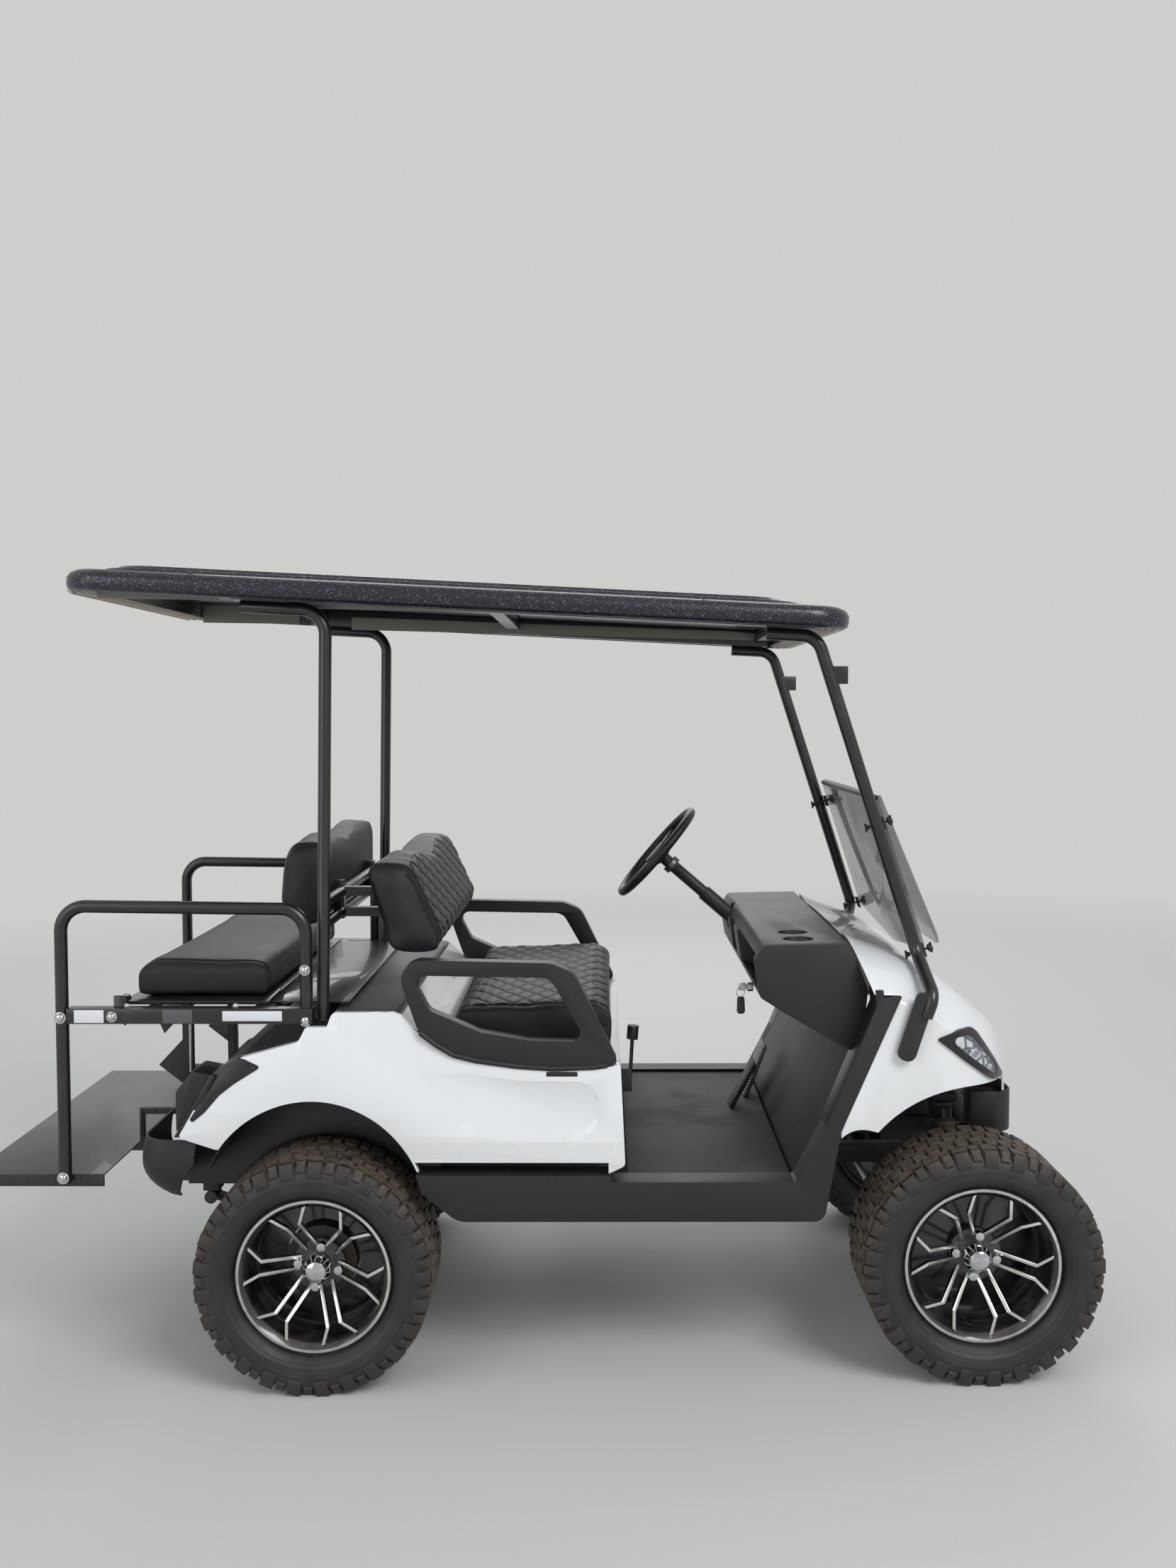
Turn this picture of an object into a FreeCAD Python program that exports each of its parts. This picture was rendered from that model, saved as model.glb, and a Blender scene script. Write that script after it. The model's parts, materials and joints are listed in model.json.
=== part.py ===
import FreeCAD, Part
# Four-seat lifted golf cart with a long roof, a folding windscreen and a rear flip seat.
# Datum: x runs forward from the rear axle, y to the left, z up from the axle's height.
# The wheels, axle and knuckles stand level; all that the springs carry leans nose-down.
import Sketcher
import math
import os

from FreeCAD import Placement, Rotation, Vector

doc = FreeCAD.newDocument("golf_cart")

# Driving sizes: name, value in millimetres (angles in degrees).
SIZES = (
    # running gear
    ("wheelbase", 1638), ("track", 1054), ("rake", 1.05),
    ("tyre_diameter", 584), ("tyre_width", 250), ("tyre_wall", 22), ("tread_width", 216),
    ("tread_facets", 40), ("lug_depth", 12), ("lug_inner", 62), ("lug_reach", 28), ("lug_flare", 2),
    ("lip_diameter", 381), ("rim_width", 190), ("bead_diameter", 356), ("rim_wall", 7),
    ("hub_diameter", 132), ("hub_thickness", 14), ("stud_circle", 101.6), ("nut_diameter", 21),
    ("nut_height", 20), ("cap_diameter", 66), ("cap_height", 52), ("spoke_pairs", 6),
    ("spoke_face", 9), ("spoke_depth", 18), ("elbow_radius", 132), ("elbow_offset", 17),
    ("rim_end_offset", 45), ("fit_gap", 0.3),
    ("axle_tube", 60), ("diff_diameter", 210), ("diff_width", 150), ("drum_diameter", 180),
    ("drum_width", 62), ("flange_diameter", 118), ("flange_thickness", 12),
    ("kingpin_inset", 107), ("upright_width", 34), ("post_top", 78), ("post_bottom", 58),
    ("ball_height", 54), ("ball_diameter", 36), ("steer_arm", 150), ("steer_arm_inset", 26),
    ("steer_arm_rise", 12), ("steer_eye_height", 26),
    ("arm_tube", 26), ("arm_bush", 34), ("lower_arm_span", 80), ("upper_arm_span", 60),
    ("lower_arm_pivot_z", -30), ("upper_arm_pivot_z", 110), ("tie_rod_diameter", 18),
    ("spring_y", 300), ("spring_half_length", 330), ("spring_eye_z", 92), ("eye_diameter", 34),
    ("leaf_width", 50), ("leaf_thickness", 9), ("coil_turns", 7), ("coil_wire", 11),
    ("damper_diameter", 44), ("coil_diameter", 84), ("damper_eye", 28),
    ("damper_ledge", 310), ("damper_pad_z", -14),
    # chassis
    ("rail_y", 300), ("rail_size", 50), ("rail_top", 190), ("rail_rear", -420),
    ("rail_front_inset", 388), ("nose_beam_y", 140), ("nose_beam_reach", 102), ("tower_z", 330),
    ("engine_length", 300), ("engine_width", 420), ("engine_height", 270), ("engine_x", 300),
    # body shell
    ("panel_wall", 5), ("body_half_width", 600), ("arch_radius", 278), ("arch_centre_z", 150),
    ("body_front", 760), ("body_rear", -446), ("sill_z", 252), ("front_arch_radius", 340),
    ("nose_reach", 168), ("arch_lip", 26), ("side_recess", 13), ("sill_tuck", 12),
    ("front_arch_centre_z", 124),
    ("rocker_bottom", 128), ("rocker_depth", 76), ("floor_z", 219),
    ("floor_rear", 766), ("floor_front_inset", 448),
    ("dash_inset", 80), ("column_bore", 74),
    # seats
    ("seat_half_width", 500), ("seat_rear", 322), ("seat_front", 745), ("seat_base_z", 512),
    ("seat_base_thickness", 16), ("cushion_height", 118), ("cushion_radius", 34),
    ("back_half_width", 500), ("back_top", 1035), ("back_bottom", 765), ("back_dip", 42),
    ("back_radius", 30), ("restraint_inset", 34), ("restraint_width", 44), ("hinge_inset", 35),
    # rear seat kit
    ("kit_rail_y", 536), ("kit_rail_size", 38), ("kit_rail_top", 649), ("kit_rail_rear", -620),
    ("tube_diameter", 32), ("grab_top", 903), ("grab_bottom", 205),
    ("grab_front", -26), ("bend_radius", 62), ("foot_rear", -885), ("foot_front", -545),
    ("foot_z", 222), ("foot_thickness", 20), ("rear_cushion_rear", -487),
    ("rear_cushion_front", -128), ("rear_half_width", 470), ("rear_base_thickness", 9),
    ("rear_cushion_height", 92), ("rear_back_half_width", 430), ("deck_front", 70),
    # roof and screen
    ("strut_y", 500), ("strut_top", 1606), ("strut_foot_x", 8), ("strut_head_x", 25),
    ("front_strut_y", 474), ("roof_rear", -625), ("roof_front_inset", 313), ("roof_half_width", 580),
    ("roof_base_z", 1633), ("roof_slope", 3.0), ("roof_lip", 54),
    ("roof_crown", 20), ("roof_wall", 5), ("roof_corner", 110), ("roof_inset", 62),
    ("pane_thickness", 5), ("pane_half_width", 452),
    # controls
    ("wheel_diameter", 345), ("wheel_grip", 26), ("wheel_centre_inset", 762), ("wheel_hub", 88),
    ("wheel_centre_z", 957), ("wheel_centre_y", 290), ("column_angle", 40.8),
    ("column_diameter", 46),
    ("hinge_rise", 66), ("hinge_pin", 12), ("post_x", -412), ("post_y", 230), ("post_width", 26),
    ("flip_x", -495),
    ("flip_z", 660), ("rear_base_half_width", 503), ("grab_y", 536), ("rail_y_roof", 488),
    ("strut_bend", 55), ("clip_thickness", 7), ("fold_lean", 22.5),
)

sheet = doc.addObject("Spreadsheet::Sheet", "sizes")
for row, (name, value) in enumerate(SIZES, start=1):
    sheet.set("A%d" % row, name)
    sheet.set("B%d" % row, str(value))
    sheet.setAlias("B%d" % row, name)
doc.recompute()


def size(name):
    """The value of one cell of the sheet."""
    return float(sheet.get(name))


# Helpers for sketches and features of a body.

def origin_plane(body, role):
    """One of a body's own origin planes."""
    for feature in body.Origin.OriginFeatures:
        if feature.Role == role:
            return feature
    raise ValueError(role)


def number(text):
    """The value of an expression on the sheet."""
    return float(sheet.evalExpression(text))


def bind(item, **expressions):
    """Ties properties to the sheet; x, y and z stand for the placement's base."""
    for key, text in expressions.items():
        target = "Placement.Base." + key if key in ("x", "y", "z") else key
        item.setExpression(target, text)
    return item


def polygon(body, name, role, points, offset="0"):
    """A closed sketch on an origin plane with every corner held by two expressions."""
    sketch = body.newObject("Sketcher::SketchObject", name)
    sketch.AttachmentSupport = [(origin_plane(body, role), "")]
    sketch.MapMode = "FlatFace"
    sketch.setExpression("AttachmentOffset.Base.z", offset)
    places = [Vector(number(across), number(up), 0) for across, up in points]
    count = len(points)
    for index in range(count):
        sketch.addGeometry(Part.LineSegment(places[index], places[(index + 1) % count]))
    for index in range(count):
        sketch.addConstraint(Sketcher.Constraint("Coincident", index, 2, (index + 1) % count, 1))
    for index, (across, up) in enumerate(points):
        for kind, text, place in (("DistanceX", across, places[index].x),
                                  ("DistanceY", up, places[index].y)):
            held = sketch.addConstraint(Sketcher.Constraint(kind, -1, 1, index, 1, place))
            sketch.setExpression("Constraints[%d]" % held, text)
    return sketch


def feature(body, kind, name, sketch, **expressions):
    """A PartDesign feature on a sketch."""
    item = body.newObject("PartDesign::" + kind, name)
    item.Profile = sketch
    for key, text in expressions.items():
        item.setExpression(key, text)
    return item


def plate(label, role, points, thickness, offset="0", midplane=False):
    """A body padded from one polygon."""
    body = doc.addObject("PartDesign::Body", label)
    sketch = polygon(body, label + "_outline", role, points, offset)
    pad = feature(body, "Pad", label + "_pad", sketch, Length=thickness)
    pad.Midplane = midplane
    return body


def box(name, length, width, height, x, y, z):
    """A block by its sizes and its low corner, all as expressions."""
    return bind(doc.addObject("Part::Box", name), Length=length, Width=width, Height=height,
                x=x, y=y, z=z)


def rod(name, diameter, start, end):
    """A round bar between two points."""
    item = doc.addObject("Part::Cylinder", name)
    line = Vector(*end) - Vector(*start)
    item.Placement = Placement(Vector(*start), Rotation(Vector(0, 0, 1), line))
    item.Height = line.Length
    item.setExpression("Radius", "(%s)/2" % diameter)
    return item


def corner_cuts(corners, closed):
    """For each corner the points where its arc starts, peaks and ends."""
    cuts = []
    count = len(corners)
    for index, (point, radius) in enumerate(corners):
        if radius <= 0 or (not closed and index in (0, count - 1)):
            cuts.append((point, None, point))
            continue
        back = corners[index - 1][0] - point
        ahead = corners[(index + 1) % count][0] - point
        room = 0.49 * min(back.Length, ahead.Length)
        back.normalize()
        ahead.normalize()
        half = back.getAngle(ahead) / 2
        reach = min(radius / math.tan(half), room)
        radius = reach * math.tan(half)
        peak = point + (back + ahead).normalize() * (radius / math.sin(half) - radius)
        cuts.append((point + back * reach, peak, point + ahead * reach))
    return cuts


def bent_wire(corners, closed=False):
    """Straight runs joined by tangent arcs; a corner is (point, radius)."""
    cuts = corner_cuts(corners, closed)
    edges = []
    for index, (start, peak, end) in enumerate(cuts):
        if peak:
            edges.append(Part.Arc(start, peak, end).toShape())
        if closed or index < len(cuts) - 1:
            following = cuts[(index + 1) % len(cuts)][0]
            if end.distanceToPoint(following) > 0.001:
                edges.append(Part.makeLine(end, following))
    return Part.Wire(edges)


def tube(name, points, diameter="sizes.tube_diameter", bend="bend_radius"):
    """A bent tube swept along runs and arcs."""
    corners = [(Vector(*point), size(bend)) for point in points]
    path = doc.addObject("Part::Feature", name + "_path")
    path.Shape = bent_wire(corners)
    ring = doc.addObject("Part::Circle", name + "_ring")
    ring.setExpression("Radius", "(%s)/2" % diameter)
    ring.Placement = Placement(corners[0][0], Rotation(Vector(0, 0, 1), corners[1][0] - corners[0][0]))
    sweep = doc.addObject("Part::Sweep", name)
    sweep.Sections = [ring]
    sweep.Spine = (path, ["Edge%d" % number for number in range(1, len(path.Shape.Edges) + 1)])
    sweep.Solid = True
    sweep.Frenet = False
    return sweep


def outline_xz(points, y=0.0):
    """A closed wire across y from rows of x, z and corner radius."""
    return bent_wire([(Vector(x, y, z), radius) for x, z, radius in points], closed=True)


def outline_yz(points, x=0.0):
    """A closed wire across x from rows of y, z and corner radius."""
    return bent_wire([(Vector(x, y, z), radius) for y, z, radius in points], closed=True)


def outline_xy(points, z=0.0):
    """A closed wire across z from rows of x, y and corner radius."""
    return bent_wire([(Vector(x, y, z), radius) for x, y, radius in points], closed=True)


def extrude(wire, reach):
    """A solid from a closed wire and a vector."""
    return Part.Face(wire).extrude(Vector(*reach))


def block(x, y, z):
    """A block from three (low, high) pairs."""
    return Part.makeBox(x[1] - x[0], y[1] - y[0], z[1] - z[0], Vector(x[0], y[0], z[0]))


def ranged(low, high):
    """A pair in rising order."""
    return (min(low, high), max(low, high))


def from_front(rows):
    """Rows whose first column counts from the front axle, as rows in x."""
    return [(FRONT_AXLE + row[0],) + tuple(row[1:]) for row in rows]


def both_sides(shape):
    """A shape and its mirror image across the middle plane."""
    return [shape, shape.mirror(Vector(0, 0, 0), Vector(0, 1, 0))]


AXLE_HEIGHT = size("tyre_diameter") / 2
MIDDLE_X = (size("wheelbase") + size("tyre_diameter") / 2 + size("foot_rear")) / 2
FRONT_AXLE = size("wheelbase")
KINGPIN = "(sizes.track/2 - sizes.kingpin_inset)"
KINGPIN_Y = number(KINGPIN)
LEVEL = Placement(Vector(-MIDDLE_X, 0, AXLE_HEIGHT), Rotation())
SPRUNG = Placement(Vector(-MIDDLE_X, 0, AXLE_HEIGHT), Rotation(Vector(0, 1, 0), size("rake")))
NODES = []


def keep(item, frame=SPRUNG):
    """Places a finished sub-part and notes it as a node."""
    doc.recompute()
    item.Placement = frame.multiply(item.Placement)
    NODES.append(item)
    return item


def keep_shape(label, shapes, frame=SPRUNG):
    """A node from shapes of Part's own functions, one solid or several."""
    item = doc.addObject("Part::Feature", label)
    item.Shape = shapes if isinstance(shapes, Part.Shape) else Part.makeCompound(shapes)
    return keep(item, frame)


def fused(label, items, frame=SPRUNG):
    """A node that joins document objects."""
    item = doc.addObject("Part::MultiFuse", label)
    item.Shapes = items
    return keep(item, frame)


def gathered(label, items, frame=SPRUNG):
    """A node of separate solids."""
    item = doc.addObject("Part::Compound", label)
    item.Links = items
    return keep(item, frame)


def mirrored(item):
    """The mirror image of an object across the middle plane."""
    image = doc.addObject("Part::Mirroring", item.Name + "_left")
    image.Source = item
    image.Normal = Vector(0, 1, 0)
    return image


def mirrored_pair(label, item, frame=SPRUNG):
    """A node of a right-hand piece and its mirror image."""
    return gathered(label, [item, mirrored(item)], frame)


# Wheels: one right-hand wheel about its own centre, outward along -y, then four placed copies.

def revolved(label, points):
    """A body turned about the wheel's axle from rows of y and radius."""
    body = doc.addObject("PartDesign::Body", label)
    sketch = polygon(body, label + "_section", "YZ_Plane", points)
    turn = feature(body, "Revolution", label + "_turn", sketch)
    turn.ReferenceAxis = (sketch, ["H_Axis"])
    turn.Angle = 360
    doc.recompute()
    return body


def facet_ring(count, across, radius):
    """A regular polygon about the axle with its flats at the given radius."""
    corner = radius / math.cos(math.pi / count)
    spots = []
    for index in range(count):
        angle = 2 * math.pi * (index + 0.5) / count
        spots.append(Vector(corner * math.cos(angle), across, corner * math.sin(angle)))
    return Part.makePolygon(spots + spots[:1])


def facet_loft(count, rows):
    """A faceted solid about the axle from rows of y and radius."""
    return Part.makeLoft([facet_ring(count, across, radius) for across, radius in rows], True, True)


def shoulder_lug(count, middle, rows):
    """One lug over one facet: its section swung between the facet's two edges."""
    wires = []
    stretch = 1 / math.cos(math.pi / count)
    for edge in (-0.5, 0.5):
        angle = 2 * math.pi * (middle + edge) / count
        spots = [Vector(up * stretch * math.cos(angle), across, up * stretch * math.sin(angle))
                 for across, up in rows]
        wires.append(Part.makePolygon(spots + spots[:1]))
    return Part.makeLoft(wires, True, True)


def wheel_tyre():
    """The faceted carcass, open towards the rim, with lugs staggered on both shoulders."""
    count = int(size("tread_facets"))
    half = size("tyre_width") / 2
    outer = size("tyre_diameter") / 2
    wall = size("tyre_wall")
    lip = size("lip_diameter") / 2 + 4
    seat = size("bead_diameter") / 2 + size("fit_gap")
    bead = size("rim_width") / 2 - size("rim_wall") - size("fit_gap") - 2
    side = (size("lip_diameter") / 2 + outer) / 2
    tread = size("tread_width") / 2
    base = outer - size("lug_depth")
    right = [(bead, lip), (half, side), (tread, base)]
    inside = [(bead + 1, seat), (bead - wall / 2, seat), (half - wall, base - wall)]
    solids = []
    for rows in (right, inside):
        there = [(-across, up) for across, up in rows]
        solids.append(facet_loft(count, there + [(across, up) for across, up in reversed(rows)]))
    carcass = solids[0].cut(solids[1])
    sink = 3
    section = [(size("lug_inner"), base - sink), (size("lug_inner"), outer), (tread, outer),
               (half - size("lug_flare"), outer - size("lug_reach")),
               (tread - sink, outer - size("lug_reach") - sink)]
    lugs = []
    for way in (-1, 1):
        rows = [(way * across, up) for across, up in section]
        first = 0 if way < 0 else 1
        lugs += [shoulder_lug(count, middle, rows) for middle in range(first, count, 2)]
    return carcass.multiFuse(lugs)


def wheel_barrel():
    """The rim's barrel with its bead seats, drop and machined outer lip."""
    half = "sizes.rim_width/2"
    lip = "sizes.lip_diameter/2"
    wall = "sizes.rim_wall"
    seat = "sizes.bead_diameter/2"
    drop = "(sizes.bead_diameter/2 - 12)"
    right = [(half, lip), (half + " - " + wall, lip), (half + " - " + wall, seat), ("40", seat),
             ("22", drop)]
    inside = [("18", drop + " - " + wall), ("36", seat + " - " + wall),
              (half + " - 2*" + wall, seat + " - " + wall), (half, lip + " - " + wall)]
    section = [("-(%s)" % across, up) for across, up in right]
    section += [(across, up) for across, up in reversed(right)]
    section += [(across, up) for across, up in reversed(inside)]
    section += [("-(%s)" % across, up) for across, up in inside]
    return revolved("rim_barrel", section)


def spoke(angle, side):
    """One bar of a pair: deep and close to the mid-line at the hub, out at the elbow, wide at the lip."""
    half = size("rim_width") / 2
    depth = size("spoke_depth")
    barrel = size("bead_diameter") / 2 - size("rim_wall") / 3
    rim_end = math.sqrt(barrel ** 2 - (size("rim_end_offset") + size("spoke_face") / 2) ** 2)
    # radius, offset from the pair's mid-line, face's place outward, face width, depth
    stations = (
        (size("hub_diameter") / 2 - 20, size("elbow_offset") - 2, size("hub_thickness") + 4, 8, 14),
        (size("elbow_radius"), size("elbow_offset"), half - 7, size("spoke_face"), depth),
        (rim_end, size("rim_end_offset"), half - 5, size("spoke_face"), depth - 4),
    )
    wires = []
    for radius, offset, face, width, deep in stations:
        near = side * (offset - width / 2)
        far = side * (offset + width / 2)
        corners = [(radius, near, face), (radius, far, face),
                   (radius, far, face - deep), (radius, near, face - deep)]
        wires.append(Part.makePolygon([Vector(a, -c, b) for a, b, c in corners + corners[:1]]))
    bar = Part.makeLoft(wires, True, True)
    bar.rotate(Vector(0, 0, 0), Vector(0, -1, 0), angle)
    return bar


def wheel_rim():
    """Barrel, hub disc, twelve spoke bars, nuts and the cap as one casting."""
    seat_y = -size("fit_gap")
    thick = size("hub_thickness")
    outward = Vector(0, -1, 0)
    pieces = [wheel_barrel().Shape]
    pieces.append(Part.makeCylinder(size("hub_diameter") / 2, thick, Vector(0, seat_y, 0), outward))
    pairs = int(size("spoke_pairs"))
    for pair in range(pairs):
        for side in (-1, 1):
            pieces.append(spoke(51 + 360 * pair / pairs, side))
    for nut in range(4):
        angle = math.radians(80 + 90 * nut)
        reach = size("stud_circle") / 2
        place = Vector(reach * math.cos(angle), seat_y - thick, reach * math.sin(angle))
        pieces.append(Part.makeCylinder(size("nut_diameter") / 2, size("nut_height"), place, outward))
    cap = size("cap_diameter") / 2
    tall = size("cap_height")
    foot = Vector(0, seat_y - thick, 0)
    pieces.append(Part.makeCylinder(cap, tall - 14, foot, outward))
    pieces.append(Part.makeCone(cap, cap - 8, 14, foot + outward * (tall - 14), outward))
    whole = pieces[0].multiFuse(pieces[1:])
    return whole.removeSplitter()


TYRE_SHAPE = wheel_tyre()
RIM_SHAPE = wheel_rim()
for end, axle_x in (("front", size("wheelbase")), ("rear", 0.0)):
    for side, turn, axle_y in (("right", 0, -size("track") / 2), ("left", 180, size("track") / 2)):
        spot = Placement(Vector(axle_x, axle_y, 0), Rotation(Vector(0, 0, 1), turn))
        for kind, shape in (("tyre", TYRE_SHAPE), ("rim", RIM_SHAPE)):
            wheel_part = doc.addObject("Part::Feature", "%s_%s_%s" % (kind, end, side))
            wheel_part.Shape = shape.copy()
            wheel_part.Placement = spot
            keep(wheel_part, LEVEL)


# Running gear below the springs.

def rear_axle():
    """Axle tube, differential, drums and the flanges that carry the wheels."""
    hub_y = size("track") / 2
    drum_y = hub_y - size("flange_thickness")
    pieces = [rod("axle_bar", "sizes.axle_tube", (0, -drum_y, 0), (0, drum_y, 0)),
              rod("differential", "sizes.diff_diameter", (0, -size("diff_width") / 2, 0),
                  (0, size("diff_width") / 2, 0))]
    for side, way in (("right", -1), ("left", 1)):
        pieces.append(rod("drum_" + side, "sizes.drum_diameter", (0, way * drum_y, 0),
                          (0, way * (drum_y - size("drum_width")), 0)))
        pieces.append(rod("flange_" + side, "sizes.flange_diameter", (0, way * drum_y, 0),
                          (0, way * hub_y, 0)))
        pad = box("spring_pad_" + side, "2*sizes.leaf_width", "sizes.leaf_width",
                  "sizes.axle_tube/2", "-sizes.leaf_width",
                  "%d*sizes.spring_y - sizes.leaf_width/2" % way, "0")
        pieces.append(pad)
        pieces.append(box("damper_pad_" + side, "84", "30", "16", "-84",
                          "%d*(sizes.spring_y + 52) - 15" % way, "sizes.damper_pad_z - 16"))
    return fused("rear_axle", pieces, LEVEL)


def knuckle(side, way):
    """Upright, spindle, hub flange and steering arm on one kingpin."""
    front = size("wheelbase")
    pin = way * KINGPIN_Y
    hub_y = way * size("track") / 2
    drum_y = hub_y - way * size("flange_thickness")
    wide = "sizes.upright_width"
    post = box("post_" + side, wide, wide, "sizes.post_top + sizes.post_bottom",
               "sizes.wheelbase - sizes.upright_width/2",
               "%d*%s - sizes.upright_width/2" % (way, KINGPIN), "-sizes.post_bottom")
    spindle = rod("spindle_" + side, "sizes.axle_tube", (front, pin, 0), (front, drum_y, 0))
    flange = rod("hub_" + side, "sizes.flange_diameter", (front, drum_y, 0), (front, hub_y, 0))
    arm_y = way * (KINGPIN_Y - size("steer_arm_inset"))
    arm_x = front - size("steer_arm")
    arm_z = -size("post_bottom") + size("steer_arm_rise")
    eye = size("steer_eye_height") / 2
    bar = rod("steer_bar_" + side, "sizes.tie_rod_diameter + 4", (front, pin, arm_z), (arm_x, arm_y, arm_z))
    boss = rod("steer_eye_" + side, "sizes.ball_diameter - 8", (arm_x, arm_y, arm_z - eye),
               (arm_x, arm_y, arm_z + eye))
    return fused("knuckle_" + side, [post, spindle, flange, bar, boss], LEVEL)


def tie_rod():
    """The cross link that lies on both steering eyes."""
    arm_y = KINGPIN_Y - size("steer_arm_inset")
    arm_x = size("wheelbase") - size("steer_arm")
    low = -size("post_bottom") + size("steer_arm_rise") + size("steer_eye_height") / 2 + size("fit_gap")
    tall = size("tie_rod_diameter") + 2
    pieces = [rod("tie_bar", "sizes.tie_rod_diameter", (arm_x, -arm_y, low + tall / 2),
                  (arm_x, arm_y, low + tall / 2))]
    for side, way in (("right", -1), ("left", 1)):
        pieces.append(rod("tie_end_" + side, "sizes.ball_diameter - 6", (arm_x, way * arm_y, low),
                          (arm_x, way * arm_y, low + tall)))
    return fused("tie_rod", pieces, LEVEL)


def to_level(point):
    """A point that the springs carry, seen from the level axle."""
    return Rotation(Vector(0, 1, 0), size("rake")).multVec(Vector(*point))


def to_body(point):
    """A level point, seen from what the springs carry."""
    return Rotation(Vector(0, 1, 0), -size("rake")).multVec(Vector(*point))


def coil(name, start, end):
    """A coil spring's closed form: one ridge to each turn between two points."""
    run = end - start
    turns = int(size("coil_turns"))
    outer = size("coil_diameter") / 2
    pitch = run.Length / turns
    spots = [Vector(0, 0, 0)]
    for turn in range(turns):
        spots += [Vector(outer - size("coil_wire"), 0, turn * pitch),
                  Vector(outer, 0, (turn + 0.3) * pitch), Vector(outer, 0, (turn + 0.7) * pitch)]
    spots += [Vector(outer - size("coil_wire"), 0, run.Length), Vector(0, 0, run.Length), spots[0]]
    item = doc.addObject("Part::Feature", name)
    item.Shape = Part.Face(Part.makePolygon(spots)).revolve(Vector(0, 0, 0), Vector(0, 0, 1), 360)
    item.Placement = Placement(start, Rotation(Vector(0, 0, 1), run))
    return item


def front_suspension():
    """Lower and upper arms with a coil-over damper on the right, and their mirror images."""
    front = size("wheelbase")
    pin = -KINGPIN_Y
    gap = size("fit_gap")
    bush = size("arm_bush") / 2
    inner = -(size("nose_beam_y") + size("rail_size") / 2 + gap + bush)
    ball = size("ball_height")
    low = -size("post_bottom") - gap
    high = size("post_top") + gap
    pieces = [rod("lower_ball", "sizes.ball_diameter", (front, pin, low - ball), (front, pin, low)),
              rod("upper_ball", "sizes.ball_diameter", (front, pin, high), (front, pin, high + ball))]
    arms = (("lower", low - ball / 2, size("lower_arm_pivot_z"), size("lower_arm_span")),
            ("upper", high + ball / 2, size("upper_arm_pivot_z"), size("upper_arm_span")))
    for name, ball_z, pivot_z, span in arms:
        for end, way in (("ahead", 1), ("behind", -1)):
            pieces.append(rod("%s_arm_%s" % (name, end), "sizes.arm_tube", (front, pin, ball_z),
                              (front + way * span, inner, pivot_z)))
        pieces.append(rod(name + "_bush", "sizes.arm_bush", (front - span - bush, inner, pivot_z),
                          (front + span + bush, inner, pivot_z)))
    cross_y = (pin + inner) / 2
    cross_z = (low - ball / 2 + size("lower_arm_pivot_z")) / 2
    cross = size("lower_arm_span") / 2
    pieces.append(rod("lower_arm_cross", "sizes.arm_tube", (front - cross, cross_y, cross_z),
                      (front + cross, cross_y, cross_z)))
    foot = Vector(front, cross_y, cross_z)
    eye = size("damper_eye")
    tower = to_level(to_body((front, inner - bush - 12, 0)))
    tower_z = size("tower_z") - eye / 2 - gap - front * math.sin(math.radians(size("rake")))
    head = Vector(front, tower.y, tower_z)
    run = head - foot
    pieces.append(rod("front_damper", "sizes.damper_diameter", foot, foot + run * 0.55))
    pieces.append(rod("front_damper_rod", "sizes.damper_diameter/2", foot, head))
    pieces.append(coil("front_coil", foot + run * 0.3, foot + run * 0.9))
    pieces.append(rod("front_damper_eye", "sizes.damper_eye", head - Vector(22, 0, 0),
                      head + Vector(22, 0, 0)))
    right = doc.addObject("Part::MultiFuse", "front_arms_right")
    right.Shapes = pieces
    return mirrored_pair("front_suspension", right, LEVEL)


def rear_suspension():
    """Leaf spring with its eyes and hangers, and a damper, on the right and mirrored."""
    across = -size("spring_y")
    reach = size("spring_half_length")
    eye_z = size("spring_eye_z")
    seat_z = size("axle_tube") / 2 + size("fit_gap")
    thick = size("leaf_thickness")
    wide = size("leaf_width")
    pieces = []
    for leaf, share in ((0, 1.0), (1, 0.62)):
        low = seat_z + (1 - leaf) * thick
        rise = (eye_z - seat_z) * share * share
        middle = Vector(0, across, low)
        ends = [Vector(way * reach * share, across, low + rise) for way in (-1, 1)]
        wire = Part.Wire([Part.Arc(ends[0], middle, ends[1]).toShape(),
                          Part.makeLine(ends[1], ends[1] + Vector(0, 0, thick)),
                          Part.Arc(ends[1] + Vector(0, 0, thick), middle + Vector(0, 0, thick),
                                   ends[0] + Vector(0, 0, thick)).toShape(),
                          Part.makeLine(ends[0] + Vector(0, 0, thick), ends[0])])
        pieces.append(extrude(wire, (0, wide, 0)).translated(Vector(0, -wide / 2, 0)))
    for way in (-1, 1):
        pieces.append(Part.makeCylinder(size("eye_diameter") / 2, wide,
                                        Vector(way * reach, across - wide / 2, eye_z + thick),
                                        Vector(0, 1, 0)))
    spring = pieces[0].multiFuse(pieces[1:])
    eye = size("damper_eye") / 2
    gap = size("fit_gap")
    damper_y = -(size("spring_y") + 52)
    foot = Vector(-58, damper_y, size("damper_pad_z") + eye + gap)
    head = to_level((-170, damper_y, size("damper_ledge"))) - Vector(0, 0, eye + 2 * gap)
    run = head - foot
    damper = Part.makeCylinder(size("damper_diameter") / 2, run.Length * 0.5, foot + run * 0.12, run)
    damper = damper.fuse(Part.makeCylinder(9, run.Length, foot, run))
    for end in (foot, head):
        damper = damper.fuse(Part.makeCylinder(eye, 28, end - Vector(0, 14, 0), Vector(0, 1, 0)))
    return keep_shape("rear_suspension", both_sides(spring) + both_sides(damper), LEVEL)


rear_axle()
for side, way in (("right", -1), ("left", 1)):
    knuckle(side, way)
tie_rod()
front_suspension()
rear_suspension()


# Chassis and the plain engine block.

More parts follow.
